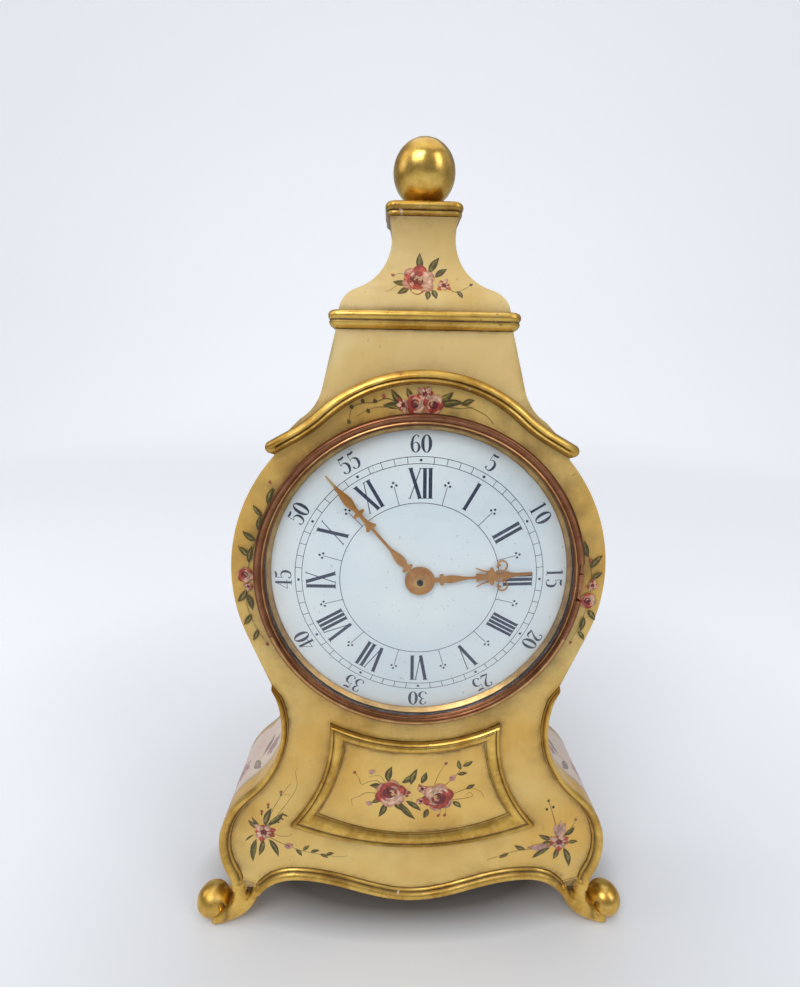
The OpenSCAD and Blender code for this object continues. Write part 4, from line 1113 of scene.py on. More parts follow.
class CLOCK_OT_ring(bpy.types.Operator):
    """The copper coloured ring that holds the glass, with the pocket for its hinge, and the glass"""
    bl_idname = "clock.ring"
    bl_label = "Ring and glass"

    def execute(self, context):
        outside = [(RING_R, -0.2), (RING_R, -3.5), (68.05, -4.1), (67.5, -4.55), (66.9, -4.7),
                   (66.2, -4.55), (65.6, -4.1), (65.3, -3.8), (65.1, -3.85), (64.85, -4.0),
                   (64.5, -3.85), (64.2, -3.55), (63.95, -3.35), (63.9, -3.3)]
        inner = [(65.2, -3.3), (65.2, -0.2)]
        pocket = 7.0
        short = [(65.75, -0.3), (65.75, -4.15)] + outside[7:] + inner
        shape = joined(turned(outside + inner, 200, start=pocket, end=360 - pocket),
                       turned(short, 10, start=-pocket, end=pocket))
        r = np.hypot(shape[0][:, 0], shape[0][:, 2])
        # The crests take a paler copper, a painted highlight; the slopes between them are darkened with
        # painted shade.
        crest_highlight = np.exp(-((r - 66.75) / 0.42) ** 2) + 0.7 * np.exp(-((r - 64.85) / 0.2) ** 2)

        def crest(x, y, z):
            """Faces that take the painted highlight: the inner crest all round and the outer crest low
            down.
            """
            r = math.hypot(x, z)
            return 1 if 64.6 < r < 65.15 or (66.3 < r < 67.3 and z < -25) else 0

        build("glass_ring", shape, ["copper_ring", "copper_highlight"], body="bezel",
              stands_for=["bezel_ring"], shade_and_dirt=np.clip(0.7 - crest_highlight, 0, 1),
              sharp=45, pick=crest)
        apex = -3.0 - context.scene.clock_sizes.glass_rise
        radii = np.r_[0.0, np.linspace(2.5, 64.6, 26), 65.0]
        front = [(r, apex + r * r / GLASS_BEND) for r in radii]
        back = [(r, apex + 1.5 + r * r / GLASS_BEND) for r in radii[::-1]]
        build("clear_glass", turned(front + back, 96), "glass", body="bezel",
              stands_for=["glass"], sharp=60)
        return {"FINISHED"}


# The dial's print

# Pen strokes of each figure on a height of 1: x, z and half the pen's width
FIGURES = {
    "0": [[(0.3 + 0.215 * math.cos(a), 0.5 + 0.475 * math.sin(a), 0.024 + 0.068 * abs(math.cos(a)) ** 1.6)
           for a in np.linspace(0, 2 * math.pi, 25)]],
    "1": [[(0.24, 0.02, 0.07), (0.24, 0.99, 0.07)], [(0.20, 0.98, 0.02), (0.06, 0.86, 0.016)],
          [(0.06, 0.014, 0.014), (0.42, 0.014, 0.014)]],
    "2": [[(0.13, 0.74, 0.055), (0.10, 0.84, 0.03), (0.15, 0.94, 0.024), (0.28, 0.975, 0.026),
           (0.44, 0.88, 0.065), (0.45, 0.70, 0.075), (0.32, 0.44, 0.045), (0.12, 0.16, 0.024),
           (0.07, 0.05, 0.020)],
          [(0.06, 0.05, 0.02), (0.17, 0.10, 0.05), (0.33, 0.07, 0.062), (0.47, 0.08, 0.04),
           (0.54, 0.24, 0.014)]],
    "3": [[(0.12, 0.78, 0.05), (0.12, 0.90, 0.024), (0.26, 0.975, 0.024), (0.42, 0.89, 0.06),
           (0.42, 0.68, 0.058), (0.28, 0.54, 0.018), (0.19, 0.53, 0.014)],
          [(0.24, 0.54, 0.016), (0.40, 0.48, 0.04), (0.50, 0.28, 0.075), (0.42, 0.09, 0.05),
           (0.26, 0.022, 0.02), (0.12, 0.08, 0.026), (0.09, 0.20, 0.05)]],
    "4": [[(0.40, 0.02, 0.068), (0.40, 0.99, 0.068)], [(0.40, 0.97, 0.02), (0.03, 0.30, 0.014)],
          [(0.0, 0.285, 0.018), (0.58, 0.285, 0.018)], [(0.24, 0.014, 0.014), (0.56, 0.014, 0.014)]],
    "5": [[(0.12, 0.96, 0.018), (0.105, 0.54, 0.014)],
          [(0.11, 0.93, 0.048), (0.28, 0.90, 0.062), (0.47, 0.945, 0.05)],
          [(0.105, 0.55, 0.014), (0.26, 0.63, 0.022), (0.45, 0.52, 0.062), (0.49, 0.30, 0.078),
           (0.40, 0.08, 0.05), (0.24, 0.022, 0.02), (0.10, 0.08, 0.03), (0.10, 0.19, 0.052)]],
    "6": [[(0.46, 0.86, 0.05), (0.42, 0.95, 0.024), (0.30, 0.975, 0.022), (0.15, 0.80, 0.055),
           (0.085, 0.45, 0.078), (0.14, 0.15, 0.058), (0.29, 0.022, 0.02), (0.44, 0.13, 0.055),
           (0.49, 0.30, 0.07), (0.43, 0.49, 0.048), (0.29, 0.58, 0.018), (0.14, 0.44, 0.014)]],
}
# Strokes of the hour numerals in millimetres, with their feet at 0 and their heads at 12.3
THICK, THIN, TALL = 0.72, 0.19, 12.3
HOUR_LETTERS = {
    "I": (2.25, [((0, 0), (0, TALL), THICK)]),
    "V": (5.4, [((-2.0, TALL), (0.25, 0), THICK), ((2.3, TALL), (0.25, 0), THIN)]),
    "X": (5.4, [((-1.95, TALL), (1.95, 0), THICK), ((2.1, TALL), (-2.1, 0), THIN)]),
}
HOURS = ["XII", "I", "II", "III", "IIII", "V", "VI", "VII", "VIII", "IX", "X", "XI"]
FIGURES_R = 56.75
HOURS_R = 34.85
TRACK_OUT, MARKS_R, TRACK_IN, INNER_R = 51.7, 50.3, 48.9, 33.1
# The print is turned by a few tenths of a degree and sits a little low, as on the real dial
PRINT_TURN = 0.689
PRINT_DROP = -0.5
PRINT_SHIFT = 0.03
PRINT_LIFT = 0.05


def ribbon(path):
    """A flat stroke along a path of x, z and half width, seen from the front."""
    path = np.asarray(path, float)
    middle = path[:, :2]
    across = sideways(path) * path[:, 2:3]
    n = len(path)
    faces = [(a + i, b + i, b + i + 1, a + i + 1) for i in range(n - 1) for a, b in ((0, n), (n, 2 * n))]
    return np.vstack([middle - across, middle, middle + across]), faces


def to_front(points, faces):
    """Turns flat faces so that each looks towards the viewer."""
    out = []
    for face in faces:
        p = points[list(face)]
        q = np.roll(p, -1, axis=0)
        area = np.sum(p[:, 0] * q[:, 1] - q[:, 0] * p[:, 1])
        out.append(tuple(face) if area > 0 else tuple(face[::-1]))
    return out


def around_dial(flat, angle, radius):
    """Points drawn upright over (0, 0), carried to a radius at a clockwise angle from the top."""
    a = math.radians(angle - PRINT_TURN)
    u, v = flat[:, 0], flat[:, 1] + radius
    return np.c_[u * math.cos(a) + v * math.sin(a) + PRINT_SHIFT,
                 -u * math.sin(a) + v * math.cos(a) + PRINT_DROP]


def figure_strokes(text, height):
    """The strokes of a number, centred on (0, 0)."""
    step = 0.6
    shift = len(text) * step / 2
    for i, letter in enumerate(text):
        for stroke in FIGURES[letter]:
            if len(stroke) > 2:
                path = smooth(stroke, 5)
            else:
                start, end = np.array(stroke)
                path = start + (end - start) * np.linspace(0, 1, 5)[:, None]
            path = path * height
            path[:, 0] += (i * step - shift) * height
            path[:, 1] -= height / 2
            yield path


def hour_strokes(text):
    """The strokes of an hour numeral with its small serifs, centred across."""
    crowd = 1 - 0.11 * max(text.count("I") - 2, 0)
    widths = [HOUR_LETTERS[c][0] * (crowd if c == "I" else 1) for c in text]
    at = -sum(widths) / 2
    for c, w in zip(text, widths):
        centre = at + w / 2
        at += w
        for (x0, z0), (x1, z1), half in HOUR_LETTERS[c][1]:
            half = half * (0.45 + 0.55 * crowd) if half > 0.5 else half
            t = np.linspace(0, 1, 10)
            yield np.c_[centre + x0 + (x1 - x0) * t, z0 + (z1 - z0) * t, np.full(10, half)]
            for x, z in ((x0, z0), (x1, z1)):
                reach = half + 0.38
                level = min(max(z, 0.12), TALL - 0.12)
                if not (c == "V" and z == 0):
                    yield np.array([(centre + x - reach, level, 0.12), (centre + x + reach, level, 0.12)])


def disc(x, z, r, count=14):
    """A round dot as a fan of faces."""
    points = np.vstack([[(x, z)], arc((x, z), r, 0, 360, count)[:-1]])
    return points, [(0, i + 1, (i + 1) % count + 1) for i in range(count)]


def track_nodes(ink):
    """Sixty marks on the minute track: a line at each minute and a dot at each fifth."""
    tree = bpy.data.node_groups.new("minute_marks", "GeometryNodeTree")
    tree.interface.new_socket("Geometry", in_out="OUTPUT", socket_type="NodeSocketGeometry")
    sizes = {"Radius": MARKS_R / 1000, "Mark Length": 0.0028, "Line Width": 0.00024,
             "Dot Radius": 0.00058, "Dome": DOME_BEND / 2000, "Turn": math.radians(PRINT_TURN),
             "Drop": PRINT_DROP / 1000}
    for name, value in sizes.items():
        socket = tree.interface.new_socket(name, in_out="INPUT", socket_type="NodeSocketFloat")
        socket.default_value = value

    n = Nodes(tree)
    given = n.add("NodeGroupInput").outputs
    circle = n.out("GeometryNodeMeshCircle", Vertices=60, Radius=given["Radius"])
    index = n.out("GeometryNodeInputIndex")
    fifth = n.sum("MODULO", index, 5.0)
    is_fifth = n.out("FunctionNodeCompare", {"operation": "LESS_THAN"}, A=fifth, B=0.5)
    is_line = n.out("FunctionNodeBooleanMath", {"operation": "NOT"}, Boolean=is_fifth)
    spin = n.out("ShaderNodeCombineXYZ", Z=n.sum("MULTIPLY", index, math.radians(6)))
    mark = n.out("GeometryNodeMeshGrid", Size_X=given["Mark Length"], Size_Y=given["Line Width"],
                 Vertices_X=4, Vertices_Y=2)
    dot = n.out("GeometryNodeMeshCircle", {"fill_type": "TRIANGLE_FAN"}, Vertices=16,
                Radius=given["Dot Radius"])
    lines = n.out("GeometryNodeInstanceOnPoints", Points=circle, Selection=is_line, Instance=mark,
                  Rotation=spin)
    dots = n.out("GeometryNodeInstanceOnPoints", Points=circle, Selection=is_fifth, Instance=dot)
    both = n.add("GeometryNodeJoinGeometry")
    tree.links.new(lines, both.inputs[0])
    tree.links.new(dots, both.inputs[0])
    real = n.out("GeometryNodeRealizeInstances", Geometry=both.outputs[0])
    swung = n.out("GeometryNodeTransform", Geometry=real,
                  Rotation=n.out("ShaderNodeCombineXYZ", Z=given["Turn"]))
    drop = n.out("ShaderNodeCombineXYZ", X=PRINT_SHIFT / 1000, Z=given["Drop"])
    upright = n.out("GeometryNodeTransform", Geometry=swung, Translation=drop,
                    Rotation=(math.pi / 2, 0, 0))
    place = n.out("GeometryNodeInputPosition")
    square = n.add("ShaderNodeVectorMath", {"operation": "DOT_PRODUCT"}, Vector=place)
    n.put(square.inputs[1], place)
    bulge = n.sum("MULTIPLY", n.sum("DIVIDE", square.outputs["Value"], given["Dome"]), 0.5)
    domed = n.out("GeometryNodeSetPosition", Geometry=upright,
                  Offset=n.out("ShaderNodeCombineXYZ", Y=bulge))
    seat = n.out("GeometryNodeTransform", Geometry=domed,
                 Translation=(0, (DIAL_Y + DOME_TOP - PRINT_LIFT) / 1000, DIAL_Z / 1000))
    inked = n.out("GeometryNodeSetMaterial", Geometry=seat, Material=ink)
    tree.links.new(inked, n.add("NodeGroupOutput").inputs[0])
    return tree


class CLOCK_OT_print(bpy.types.Operator):
    """The dial's printed figures, hour numerals, circles, minute marks and small trefoils"""
    bl_idname = "clock.print"
    bl_label = "Dial print"

    def execute(self, context):
        line = context.scene.clock_sizes.line_width / 2
        shapes = []

        def put(shape, angle, radius=0):
            """Carries a shape to its place on the dial."""
            flat, faces = shape
            shapes.append((around_dial(flat, angle, radius), faces))

        for k, hour in enumerate(HOURS):
            angle = 30 * k
            for path in figure_strokes(str(5 * k if k else 60), 7.1):
                put(ribbon(path), angle, FIGURES_R)
            for path in hour_strokes(hour):
                put(ribbon(path), angle, HOURS_R)
            put(ribbon([(0, r, line) for r in np.linspace(INNER_R, 41, 6)]), angle + 15)
            for u, v in ((0, 42.6), (-0.98, 41.3), (0.98, 41.3)):
                put(disc(u, v, 0.5), angle + 15)
        for radius, half in ((TRACK_OUT, line), (TRACK_IN, line), (INNER_R, line * 1.1)):
            rims = [arc((0, 0), r, 0, 360, 240) for r in (radius - half, radius + half)]
            faces = [(i, i + 1, i + 242, i + 241) for i in range(240)]
            shapes.append((np.vstack(rims) + [PRINT_SHIFT, PRINT_DROP], faces))
        flat, faces = joined(*shapes)
        faces = to_front(flat, faces)
        points = np.c_[flat[:, 0], dome(flat, PRINT_LIFT), flat[:, 1]]
        build("dial_figures", (points, faces), "dial_print", closed=False)

        holder = bpy.data.objects.new("marks_holder", bpy.data.meshes.new("marks_holder"))
        context.scene.collection.objects.link(holder)
        modifier = holder.modifiers.new("marks", "NODES")
        tree = track_nodes(finish("dial_print"))
        modifier.node_group = tree
        for item in tree.interface.items_tree:
            if item.in_out == "INPUT" and item.name == "Line Width":
                modifier[item.identifier] = context.scene.clock_sizes.line_width / 1000
        context.view_layer.update()
        ready = holder.evaluated_get(context.evaluated_depsgraph_get())
        mesh = bpy.data.meshes.new_from_object(ready)
        bpy.data.objects.remove(holder)
        marks = bpy.data.objects.new("minute_marks", mesh)
        context.scene.collection.objects.link(marks)
        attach(marks, "case")
        return {"FINISHED"}


# Painted flowers

LEAF, PALE_LEAF, STEM = ("453b06", "6f5f14"), ("79691f", "a39645"), ("5b4512", "755c22")
RED, PINK, MAUVE = ("a82c22", "d2563f"), ("d28874", "f0c4a4"), ("d2a28c", "c99a8e")
CRIMSON, BLUSH = ("64121a", "8f2426"), ("e2a78a", "f4d6b4")
BUD = ("96302c", "c96a58")
# The folds of a rose: how far out, from and to which angle, how wide, and their colours
ROSE_FOLDS = [(0.80, 10, 150, 0.15, RED), (0.74, 190, 330, 0.17, BLUSH), (0.62, 60, 230, 0.16, RED),
              (0.56, 250, 395, 0.13, PINK), (0.44, 20, 200, 0.15, CRIMSON),
              (0.42, 210, 340, 0.10, BLUSH), (0.26, 90, 300, 0.15, CRIMSON),
              (0.22, -60, 90, 0.09, PINK), (0.10, 0, 300, 0.12, CRIMSON)]


class Painting:
    """Brush strokes on one face: flat blades with a colour at the rim and one along the middle."""

    def __init__(self, lay):
        self.lay = lay
        self.shapes = []
        self.tints = []

    def stroke(self, path, colours):
        """One blade over all earlier ones; its path holds x, z and half width."""
        flat, faces = ribbon(path)
        rim, heart = tint(colours[0]), tint(colours[1])
        self.tints.append(np.repeat([rim, heart, rim], len(path), axis=0))
        self.shapes.append((self.lay(flat, 0.04 + 0.002 * len(self.shapes)), to_front(flat, faces)))

    def blade(self, start, end, wide, bend=0.0, colours=LEAF, fat=0.45):
        """A leaf or a petal: pointed at both ends, widest at a given part of its length."""
        t = np.linspace(0, 1, 10)
        half = wide * np.sin(math.pi * t ** (math.log(0.5) / math.log(fat))) + 0.03
        self.stroke(np.c_[bow(start, end, bend, 9), half], colours)

    def leaf(self, start, end, wide, bend=0.0):
        """A leaf with a paler stroke along one side."""
        wide = wide * 1.25
        self.blade(start, end, wide, bend)
        p, q = np.asarray(start, float), np.asarray(end, float)
        side = np.array([p[1] - q[1], q[0] - p[0]]) / np.linalg.norm(q - p) * wide * 0.35
        self.blade(p + (q - p) * 0.2 + side, p + (q - p) * 0.85 + side * 0.6, wide * 0.3, bend * 0.6,
                   PALE_LEAF)

    def leaves(self, *rows):
        """Leaves in the order of painting: each row is from x, z to x, z, then width and bend."""
        for x0, z0, x1, z1, *form in rows:
            self.leaf((x0, z0), (x1, z1), *form)

    def twig(self, points, half=0.16, colours=STEM):
        """A stem that grows thinner towards its end."""
        path = smooth([(x, z, half) for x, z in points], 5)
        path[:, 2] *= np.linspace(1.0, 0.45, len(path))
        self.stroke(path, colours)

    def bud(self, at, r=0.8, angle=90, colours=BUD):
        """One plump blade."""
        way = turn_to(angle) * r
        self.blade(np.asarray(at) - way, np.asarray(at) + way, r * 0.72, 0, colours)

    def star(self, at, r, petals=9, turn=0):
        """A small flower with narrow petals round a dark heart."""
        at = np.asarray(at, float)
        for k in range(petals):
            angle = turn + 360 * k / petals
            reach = r * (0.82 + 0.18 * math.cos(2.3 * k + turn))
            self.blade(at, at + turn_to(angle) * reach, r * 0.23, 0.2, PINK if k % 2 else RED, 0.62)
        for k in range(petals):
            angle = turn + 20 + 360 * k / petals
            self.blade(at, at + turn_to(angle) * r * 0.62, r * 0.09, 0, BLUSH, 0.6)
        for k in range(5):
            self.bud(at + turn_to(turn + 72 * k) * r * 0.16, r * 0.17, 72 * k, CRIMSON)

    def rose(self, at, r, turn=0):
        """A full rose: outer petals, red folds, pale edges of petals and a dark heart."""
        at = np.asarray(at, float)
        for k in range(6):
            way = turn_to(turn + 60 * k)
            out = at + way * r * 0.58
            across = np.array([-way[1], way[0]]) * r * 0.56
            self.blade(out - across, out + across, r * 0.42, -r * 0.12, PINK if k % 3 else RED, 0.5)
        for reach, start, end, wide, colours in ROSE_FOLDS:
            line = arc(at, r * reach, turn + start, turn + end, 12)
            half = r * wide * np.sin(np.linspace(0.08, math.pi - 0.08, 13))
            self.stroke(np.c_[line, half], colours)

    def finish(self, name, slot, mirror=False):
        """Builds the strokes as one object."""
        shape = joined(*self.shapes)
        if mirror:
            shape = mirrored(*shape)
        build(name, shape, "flower_paint", tints=np.vstack(self.tints), slot=slot, closed=False)


class CLOCK_OT_flowers(bpy.types.Operator):
    """Small roses, starry flowers, buds and leaves painted on the case"""
    bl_idname = "clock.flowers"
    bl_label = "Painted flowers"

    def execute(self, context):
        line = side_line(0.0, SIDE_STEPS)[::-1]

        def on_board(flat, lift):
            return np.c_[flat[:, 0], np.full(len(flat), -lift), flat[:, 1]]

        def on_panel(flat, lift):
            return np.c_[flat[:, 0], np.full(len(flat), -1 - lift), flat[:, 1]]

        def on_roof(flat, lift):
            front = np.array([8 - (roof_half(z) - ROOF_HALF) for z in flat[:, 1]])
            return np.c_[flat[:, 0], front - lift, flat[:, 1]]

        def on_side(flat, lift):
            return np.c_[np.interp(flat[:, 1], line[:, 1], line[:, 0]) + lift, flat[:, 0], flat[:, 1]]

        board = Painting(on_board)
        self.left_spray(board)
        self.right_spray(board)
        self.arch_spray(board)
        self.head_sprays(board)
        board.finish("board_flowers", "cream_paint")
        panel = Painting(on_panel)
        self.panel_spray(panel)
        panel.finish("panel_flowers", "cartouche_paint")
        roof = Painting(on_roof)
        self.roof_spray(roof)
        roof.finish("roof_flowers", "cream_paint")
        for name, mirror in (("right", False), ("left", True)):
            side = Painting(on_side)
            self.side_spray(side)
            side.finish(f"side_flowers_{name}", "side_paint", mirror)
        return {"FINISHED"}

    def left_spray(self, p):
        """The front board, lower left."""
        p.twig([(-70.5, -130), (-68.8, -124), (-66, -117.5), (-62.5, -110.9), (-57.2, -102.8)])
        p.twig([(-68.5, -128), (-62.5, -118.5), (-59.2, -113.6), (-54.4, -104.8), (-54.7, -96.8),
                (-53.5, -94.2)], 0.12)
        p.twig([(-69, -133), (-63.5, -136.6), (-59.3, -138.6), (-54.4, -141.1), (-46.3, -143.4),
                (-36, -145.2), (-31, -144.6)], 0.15)
        p.twig([(-66.5, -131), (-62.8, -132.9), (-58.2, -132.5), (-57.6, -130.9)], 0.12)
        p.leaves((-70, -127, -66.6, -116.6, 1.2, 0.7), (-69, -126.5, -61, -119, 1.15, -0.6))
        for t in (0.35, 0.6, 0.85):
            x, z = -69 + 8 * t, -126.5 + 7.5 * t
            p.blade((x, z), (x + 3.2, z - 1.6), 0.5, 0.3)
        p.leaf((-72.5, -128.5), (-77.9, -123.4), 0.95, 0.5)
        p.blade((-72.5, -127.5), (-76.1, -121.6), 0.75, 0.4)
        p.blade((-79.8, -135.6), (-75.6, -131.9), 0.5, 0.3)
        p.leaves((-74.6, -134.5, -76.8, -148, 1.15, -0.8), (-71.5, -134.8, -73.9, -144.4, 1.05, 0.5),
                 (-68.6, -134.6, -64.5, -145, 1.1, 0.6))
        p.leaves((-52.5, -141.6, -49.3, -138.4, 0.72, 0.3), (-49, -142.4, -44.6, -141.4, 0.72, 0.3),
                 (-56, -140.6, -53.2, -144.8, 0.72, 0.3), (-44.5, -143.6, -40.6, -145.8, 0.72, 0.3),
                 (-41.5, -144.2, -37.6, -142.9, 0.72, 0.3))
        for at, angle in (((-71.3, -118.5), 100), ((-68.1, -114.6), 80), ((-61.8, -107.5), 40)):
            p.bud(at, 0.9, angle)
            p.blade(np.array(at) - [0.2, 2.4], np.array(at) - [0, 0.6], 0.4)
        p.bud((-59.3, -138.6), 2.4, 20, MAUVE)
        p.bud((-59.3, -138.4), 1, 20)
        p.star((-70.8, -130.4), 6.2, 9, 12)

    def right_spray(self, p):
        """The front board, lower right."""
        p.twig([(70.8, -134), (68.5, -125.6), (65.7, -117.1), (64, -112.6)])
        p.twig([(69.5, -137.5), (62, -140), (52, -141.5), (43, -144.6), (36.4, -147.4)], 0.15)
        p.twig([(72.5, -133), (76.5, -128), (78, -123.5)], 0.12)
        for dx, top in ((-2.6, -125.8), (0, -123.4), (2.4, -125)):
            p.blade((71 + dx * 0.3, -133.5), (71 + dx, top), 1.3, 0.2, MAUVE)
            p.blade((71 + dx * 0.3, -132.5), (71 + dx, top - 1), 0.35, 0.1, PINK)
        p.blade((67.6, -138.6), (55.9, -139.6), 2, 0.5, MAUVE)
        p.leaves((73.5, -132.5, 77.8, -127.6, 1, -0.4), (67.6, -134.8, 61, -132.2, 0.95, 0.4),
                 (66.8, -136.2, 63, -137.4, 0.75), (55, -141, 49.6, -138.4, 0.9, 0.3),
                 (66.8, -139.8, 58.8, -146.2, 1.05, -0.5), (70.6, -140.2, 69.2, -146.8, 1, 0.4),
                 (73.6, -140, 77.2, -151.2, 1.15, 0.8), (75.4, -137, 80.2, -136, 0.8, 0.3),
                 (47, -143.2, 42.6, -146, 0.7))
        for at in ((64.1, -112.4), (66.6, -116), (63.6, -117.2)):
            p.bud(at, 0.85, 80, LEAF)
        p.bud((78, -123.2), 0.8)
        p.star((71.2, -136.3), 6, 9, 30)

    def arch_spray(self, p):
        """The front board, between the dial and the arch."""
        p.twig([(-8.5, 71), (-14, 73.6), (-18.9, 72.1), (-24.5, 71.5), (-27.7, 69.7), (-29, 65)], 0.15)
        p.twig([(-12, 70.6), (-20, 69.8), (-26, 66.6)], 0.12)
        p.twig([(5, 72), (12, 72.4), (18, 70.6), (24, 67.8), (27.4, 64.4)], 0.15)
        p.twig([(8, 70.8), (14.5, 70.2), (19.5, 70.9)], 0.12)
        p.leaves((-7.6, 71.4, -12.6, 77.2, 1.05, 0.6), (-8.8, 70.4, -15.8, 70.9, 0.95, -0.4),
                 (-4, 73, -6.6, 77.6, 0.9, 0.3), (5, 72.4, 11.2, 76.4, 1.05, -0.5),
                 (6.5, 71.4, 15.2, 72.4, 1.05, 0.4), (14.5, 71.4, 19.5, 73.4, 0.8, 0.3))
        for at in ((-18.9, 72.6), (-23.6, 72.5), (-27.9, 70.2), (-29, 64.6), (-21.5, 68.8)):
            p.bud(at, 0.95, 120, LEAF)
        p.bud((-15.5, 74.4), 0.9, 120)
        p.star((-7.9, 71.2), 3.6, 7, 20)
        p.rose((-3.2, 71.6), 3.7, 60)
        p.rose((3.6, 71.7), 3.6, 170)
        p.star((0.3, 75.4), 3.9, 8, 5)

    def head_sprays(self, p):
        """The front board, left and right of the dial."""
        p.twig([(-58.6, 37.4), (-63.4, 27), (-66.8, 17), (-70, 8), (-71.6, 0), (-72.4, -12),
                (-69.6, -22), (-65, -30.5)], 0.15)
        p.leaves((-61.8, 31, -59.2, 38.2, 0.9, 0.3), (-64, 26, -67.6, 30.8, 0.8, 0.3),
                 (-66, 20, -64.8, 26.4, 0.8, 0.3), (-67.4, 15.6, -72.4, 19.8, 0.95, 0.3),
                 (-69.6, 9, -74.6, 13.4, 0.95, 0.3), (-70.6, 6, -68.9, 13.4, 0.85, 0.3),
                 (-72, -6, -76.2, -11.4, 1, 0.3), (-71.8, -8, -70.2, -15.2, 0.95, 0.3),
                 (-70.8, -17, -74.2, -22, 0.9, 0.3), (-68.4, -24, -70.6, -29.4, 0.8, 0.3))
        p.bud((-64.6, -31), 0.9, 60)
        p.bud((-60.4, 40.2), 0.8)
        p.rose((-72.4, 0.6), 3.1, 40)
        p.star((-71.4, -4.4), 2.4, 7, 0)
        p.twig([(68.6, 15), (71.2, 7), (72.6, -2), (71.6, -12), (69.9, -20), (66.6, -28)], 0.15)
        p.leaves((70, 10, 67.9, 17.2, 0.95, 0.3), (71.6, 5, 76, 10.8, 0.95, 0.3),
                 (72.6, 0, 76.9, 3.2, 0.9, 0.3), (72.2, -14, 75.8, -18.8, 0.95, 0.3),
                 (70.8, -17, 69.9, -24.2, 0.9, 0.3), (69, -24, 72, -28, 0.75, 0.3))
        p.bud((71.4, 8.6), 0.95)
        p.bud((66.4, -29.2), 0.8, 60)
        p.star((73.2, -2.6), 3, 8, 15)
        p.rose((72, -9.6), 3.2, 100)

    def panel_spray(self, p):
        """The panel in the cartouche."""
        p.twig([(-14, -103.5), (-17, -100.4), (-20.2, -100.6), (-24.2, -102.4), (-25.5, -98.9),
                (-27.2, -96)], 0.14)
        p.twig([(-13.5, -101), (-16, -97.6), (-21, -98.3)], 0.12)
        p.twig([(-16, -107.5), (-22, -107), (-25.5, -109.1), (-28.9, -110.7), (-28.5, -114.3)], 0.14)
        p.twig([(9.5, -102.5), (11.5, -96.5), (14.3, -91.2)], 0.13)
        p.twig([(13.5, -103.8), (18.6, -98.4), (21.4, -94), (24, -89.2)], 0.14)
        p.twig([(17.8, -108), (23, -105.4), (26.4, -104.4), (30.8, -106), (33.2, -109.6)], 0.14)
        p.twig([(18, -111), (24, -110), (27.6, -108.8), (26.4, -106.9), (24.6, -108)], 0.13)
        p.twig([(12.6, -114), (13, -117.4), (12, -119.4)], 0.11)
        p.twig([(14, -113.6), (15.4, -116.6), (14.9, -119.2)], 0.11)
        p.leaves((-11.8, -101, -10.2, -92.6, 1.3, 0.8), (-14.6, -104.4, -20.6, -103, 1.15, -0.6),
                 (-15.4, -109.6, -19.6, -112.6, 1, 0.3), (-13.2, -112.4, -16.4, -120.6, 1.2, 0.7),
                 (-9.4, -112.6, -4.6, -117.4, 1.25, 0.5), (-6.8, -112, 1, -122, 1.25, -0.7),
                 (-3.6, -111.6, 3.6, -117.2, 1.05, 0.4), (-5.6, -101.6, 0.6, -96, 1.15, -0.5),
                 (-1.4, -102.6, 1.4, -93.8, 1.15, 0.5), (3.4, -101.8, 5.6, -95.6, 1.1, -0.3),
                 (6.6, -116, 5, -121.4, 1, 0.3), (18.2, -112, 22.4, -115.4, 1, 0.4),
                 (20.2, -97, 24.6, -96, 0.8, 0.2), (21.4, -94.2, 20.2, -89, 0.75, 0.3),
                 (22.4, -92.4, 26.8, -89.4, 0.8, -0.3), (24.5, -105, 28.5, -102.4, 0.8, 0.2))
        p.bud((-19.4, -95.4), 1.8, 30, MAUVE)
        p.bud((-20.8, -112.9), 1.8, 150, MAUVE)
        p.bud((17.8, -98.8), 2, 60, MAUVE)
        for at in ((17.8, -98.6), (14.5, -90.8), (-27.4, -95.8), (12, -119.8), (14.9, -119.6)):
            p.bud(at, 0.95, 60)
        p.star((4, -104.8), 3.2, 7, 20)
        p.star((3.4, -111.6), 2.8, 7, 50)
        p.star((-4.6, -107), 3.4, 7, 0)
        p.rose((-10.8, -107.4), 6.7, 20)
        p.rose((11.4, -109.4), 6.8, 200)

    def roof_spray(self, p):
        """The front of the roof."""
        p.twig([(-5, 118.6), (-9.7, 118.2), (-13.6, 114.6), (-15.6, 114)], 0.14)
        p.twig([(-5.5, 120.6), (-9, 122.6), (-12.4, 121.8)], 0.12)
        p.twig([(8.5, 116.4), (12, 114.2), (15.6, 115.8), (18.6, 117.8)], 0.14)
        p.leaves((-1, 124, -1.6, 131.4, 1.15, 0.4), (2.2, 122.8, 6.4, 129.6, 1.15, 0.4),
                 (4.6, 121, 9.6, 124.8, 1, 0.4), (-6.4, 118.4, -12.6, 118.9, 1.05, 0.4),
                 (-6.2, 116.6, -10.9, 113.2, 1, 0.4), (0.8, 114.8, 0.6, 110.8, 0.9, 0.4),
                 (2.6, 115, 4.2, 111.2, 0.9, 0.4), (12.4, 114.6, 14.4, 111.6, 0.7, 0.4))
        p.bud((-12.6, 121.8), 0.9, 150)
        p.bud((18.8, 118), 0.85, 30, LEAF)
        p.star((7.8, 117.4), 3.7, 7, 10)
        p.rose((-2.3, 119.6), 6.1, 80)

